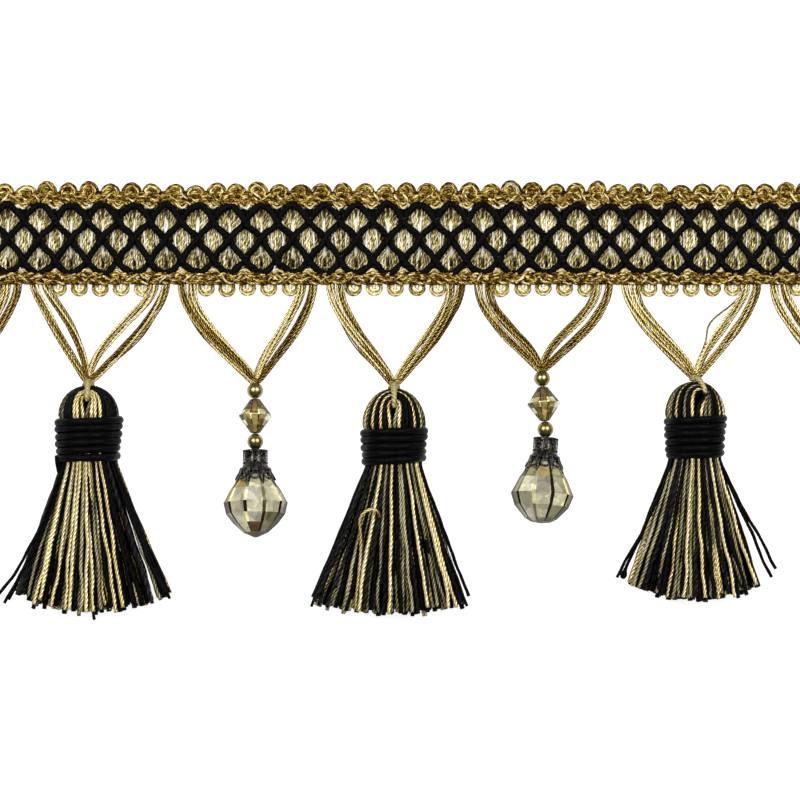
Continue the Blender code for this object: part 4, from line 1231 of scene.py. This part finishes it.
bead_arc = [(0.55, -1.86)] + [
    (2.02 * math.cos(a), 2.02 * math.sin(a)) for a in np.radians(np.linspace(-68, 68, 19))
] + [(0.55, 1.86), (0.55, -1.86)]
bicone_rings = [(0.9, 4.3), (1.25, 4.15), (2.3, 2.70), (3.3, 1.30), (4.15, 0.10), (4.15, -0.10),
                (3.35, -1.20), (2.4, -2.50), (1.25, -4.15), (0.9, -4.3)]
# in these tables each letter is a facet's colour with painted light: pale and dark for what shows through it,
# y and w for painted glints
bicone_facets = ["nnnnnnnnnnnn", "nnnbobnobbnn", "nnnbonhnobnn", "nnneekhgdenn", "nnnbdkykebnn",
                 "nnnedkkkeenn", "nnnwehkhgbnn", "nnnbohknobnn", "nnnnnnnnnnnn"]
bicone_seams = ["nnnnnnnnnnnn", "nnnbbobbbnnn", "nnnbobobbnnn", "nnndsbysbnnn", "nnnbkyykennn",
                "nnnwsybgennn", "nnnbnbhnbnnn", "nnnbbhbbbnnn", "nnnnnnnnnnnn"]
round_stone = [(1.5, -1.6), (2.0, -3.4), (4.2, -7.4), (5.95, -10.2), (7.82, -14.2), (6.75, -17.2),
               (4.0, -20.2), (2.6, -21.0), (0.4, -21.35)]
pointed_stone = [(1.5, -1.6), (2.0, -3.4), (4.2, -7.2), (6.1, -9.7), (8.0, -13.2), (7.35, -16.0),
                 (5.6, -18.3), (3.1, -20.6), (0.4, -21.8)]
# one row of the table for each drop: the facets and the narrow seams beside them, from the top down
stones = {
    1: (["cccccccccc", "csaccacasc", "gcgasgasgc", "cgmcgcgmcg",
         "wcgwcwcgwc", "sgsmgscsgs", "nsnonsnons", "nnnnnnnnnn"],
        ["oooooooooo", "oaobaoboao", "obcobaobco", "aboabsoboa",
         "boabsoabob", "sbobsboobs", "nonnonnonn", "nnnnnnnnnn"]),
    2: (["cccccccccc", "gagcwgwcag", "gcsuhcgsgc", "gcgagpcgag",
         "csgugwcgwg", "scoggpsocs", "nsnggusons", "nnnnnnnnnn"],
        ["oooooooooo", "oaobnobboa", "cobaosgabc", "bsoywsyabs",
         "obabbobabo", "sobbyboobs", "nonbnbnbnn", "nnnnnnnnnn"]),
    3: (["cccccccccc", "cgacwgwasc", "gcsusksagc", "gcamwmgacg",
         "ogssgwwkco", "gosgmwsogs", "nsoomsosno", "nnnnnnnnnn"],
        ["oooooooooo", "oaoboaooao", "obcbgbobab", "oaoswbydab",
         "bohbybbgyb", "sobbsbbsos", "nonnbbnoon", "nnnnnnnnnn"]),
    4: (["cccccccccc", "agcacacagc", "cgoagscaog", "gcgcmcgcwg",
         "cwcgcwgcgw", "gsogsmcosg", "nsnonsnons", "nnnnnnnnnn"],
        ["oooooooooo", "oaobbobboa", "bosaobosab", "aoboabsobo",
         "obaosobaob", "obsobsobso", "nonbnonbnn", "nnnnnnnnnn"]),
}

for number in range(1, 5):
    upper, lower = middle_of(f"drop_bead_upper_{number}"), middle_of(f"drop_bead_lower_{number}")
    down = (lower - upper).normalized()
    for name, centre in ((f"bead_upper_{number}", upper), (f"bead_lower_{number}", lower)):
        mesh = joined(name, [turned(bead_arc, full_turn(32))])
        bead = add_piece(name, mesh, gilt, "gilt_bead", f"drop_{name}")
        set_along(bead, centre, down)
    mesh = cut_stone(f"bicone_{number}", bicone_rings, bicone_facets, bicone_seams, gap=5.0, rim=9.0)
    bicone = add_piece(f"bicone_{number}", mesh, amber_crystal, "clear_bead", f"drop_bicone_{number}")
    set_along(bicone, middle_of(f"drop_bicone_{number}"), down)

    # the cap and the pendant share one axis, which leans down to where the pendant's point lies
    cap_points = [v.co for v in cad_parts[f"drop_cap_{number}"].data.vertices]
    cap_middle = sum(cap_points, Vector()) / len(cap_points)
    tip = max((v.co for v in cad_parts[f"drop_pendant_{number}"].data.vertices),
              key=lambda point: (point - cap_middle).length)
    lie = (tip - cap_middle).normalized()
    cap_top = cap_middle + lie * min((point - cap_middle).dot(lie) for point in cap_points)
    spread, leaf_end, outline = (0.95, -9.7, pointed_stone) if number % 2 == 0 else (0.80, -8.9, round_stone)
    mesh = bell_cap(f"bell_cap_{number}", spread, leaf_end)
    cap = add_piece(f"bell_cap_{number}", mesh, aged_brass, "aged_brass", f"drop_cap_{number}")
    mesh = cut_stone(f"cut_pendant_{number}", outline, *stones[number], gap=7.0, rim=23.0)
    pendant = add_piece(f"cut_pendant_{number}", mesh, cut_crystal, "cut_pendant", f"drop_pendant_{number}")
    for piece in (cap, pendant):
        set_along(piece, cap_top, lie)
    # where the pendant would sink into the table, both are raised
    sunk = min(min(v.co.z for v in pendant.data.vertices), 0.0)
    for piece in (cap, pendant):
        piece.data.transform(Matrix.Translation((0, 0, -sunk)))

    start = upper - down * 2.9 * MM
    steps = [start + (lower - start) * t for t in np.linspace(0, 1, 30)]
    steps += [lower + (cap_top - lower) * t for t in (0.5, 1.0)]
    steps += [cap_top + lie * 3.6 * MM * t for t in np.linspace(0.2, 1, 6)]
    string = ([np.array([list(v) for v in steps])], [0.42 * MM], [0.55])
    yarn_piece(f"drop_string_{number}", string, gold_yarn, "gold_yarn", f"drop_thread_{number}",
               twist=600, lobe=0.13)

# --------------------------------------
# The surface the trim lies on, two large soft panels of light high on either side, and the camera
# straight above.
# --------------------------------------
table = bpy.data.meshes.new("table")
table.from_pydata([(-1.5, -1.5, 0), (1.5, -1.5, 0), (1.5, 1.5, 0), (-1.5, 1.5, 0)], [], [(0, 1, 2, 3)])
white = (1.0, 1.0, 1.0, 1.0)
white_card = {
    "Base Color": (0.36, 0.36, 0.36, 1.0), "Roughness": 0.9, "Emission Color": white,
    "Emission Strength": 0.88,
}
table.materials.append(new_finish("white_card", white_card)[0])
floor = add_to_scene("floor", table)
floor.location.z = -0.05 * MM

world = bpy.data.worlds.new("studio")
world.use_nodes = True
background = world.node_tree.nodes["Background"].inputs
background["Color"].default_value = white
background["Strength"].default_value = 0.12
bpy.context.scene.world = world

aim = middle_of("tassel_collar_2")
for name, side in (("left", -0.42), ("right", 0.42)):
    light = bpy.data.lights.new(name, "AREA")
    light.shape = "SQUARE"
    light.size = 0.50
    light.energy = 6.0
    lamp = add_to_scene(name, light)
    lamp.location = (side, 0.22, 0.70)
    lamp.rotation_euler = (aim - lamp.location).to_track_quat("-Z", "Y").to_euler()

camera = bpy.data.cameras.new("camera")
camera.lens = 230
camera.sensor_width = 36
camera_object = add_to_scene("camera", camera)
view_width = 200 * MM
camera_object.location = (1.06 * MM, -40.5 * MM, view_width / camera.sensor_width * camera.lens)
bpy.context.scene.camera = camera_object
bpy.context.scene.view_settings.view_transform = "Standard"
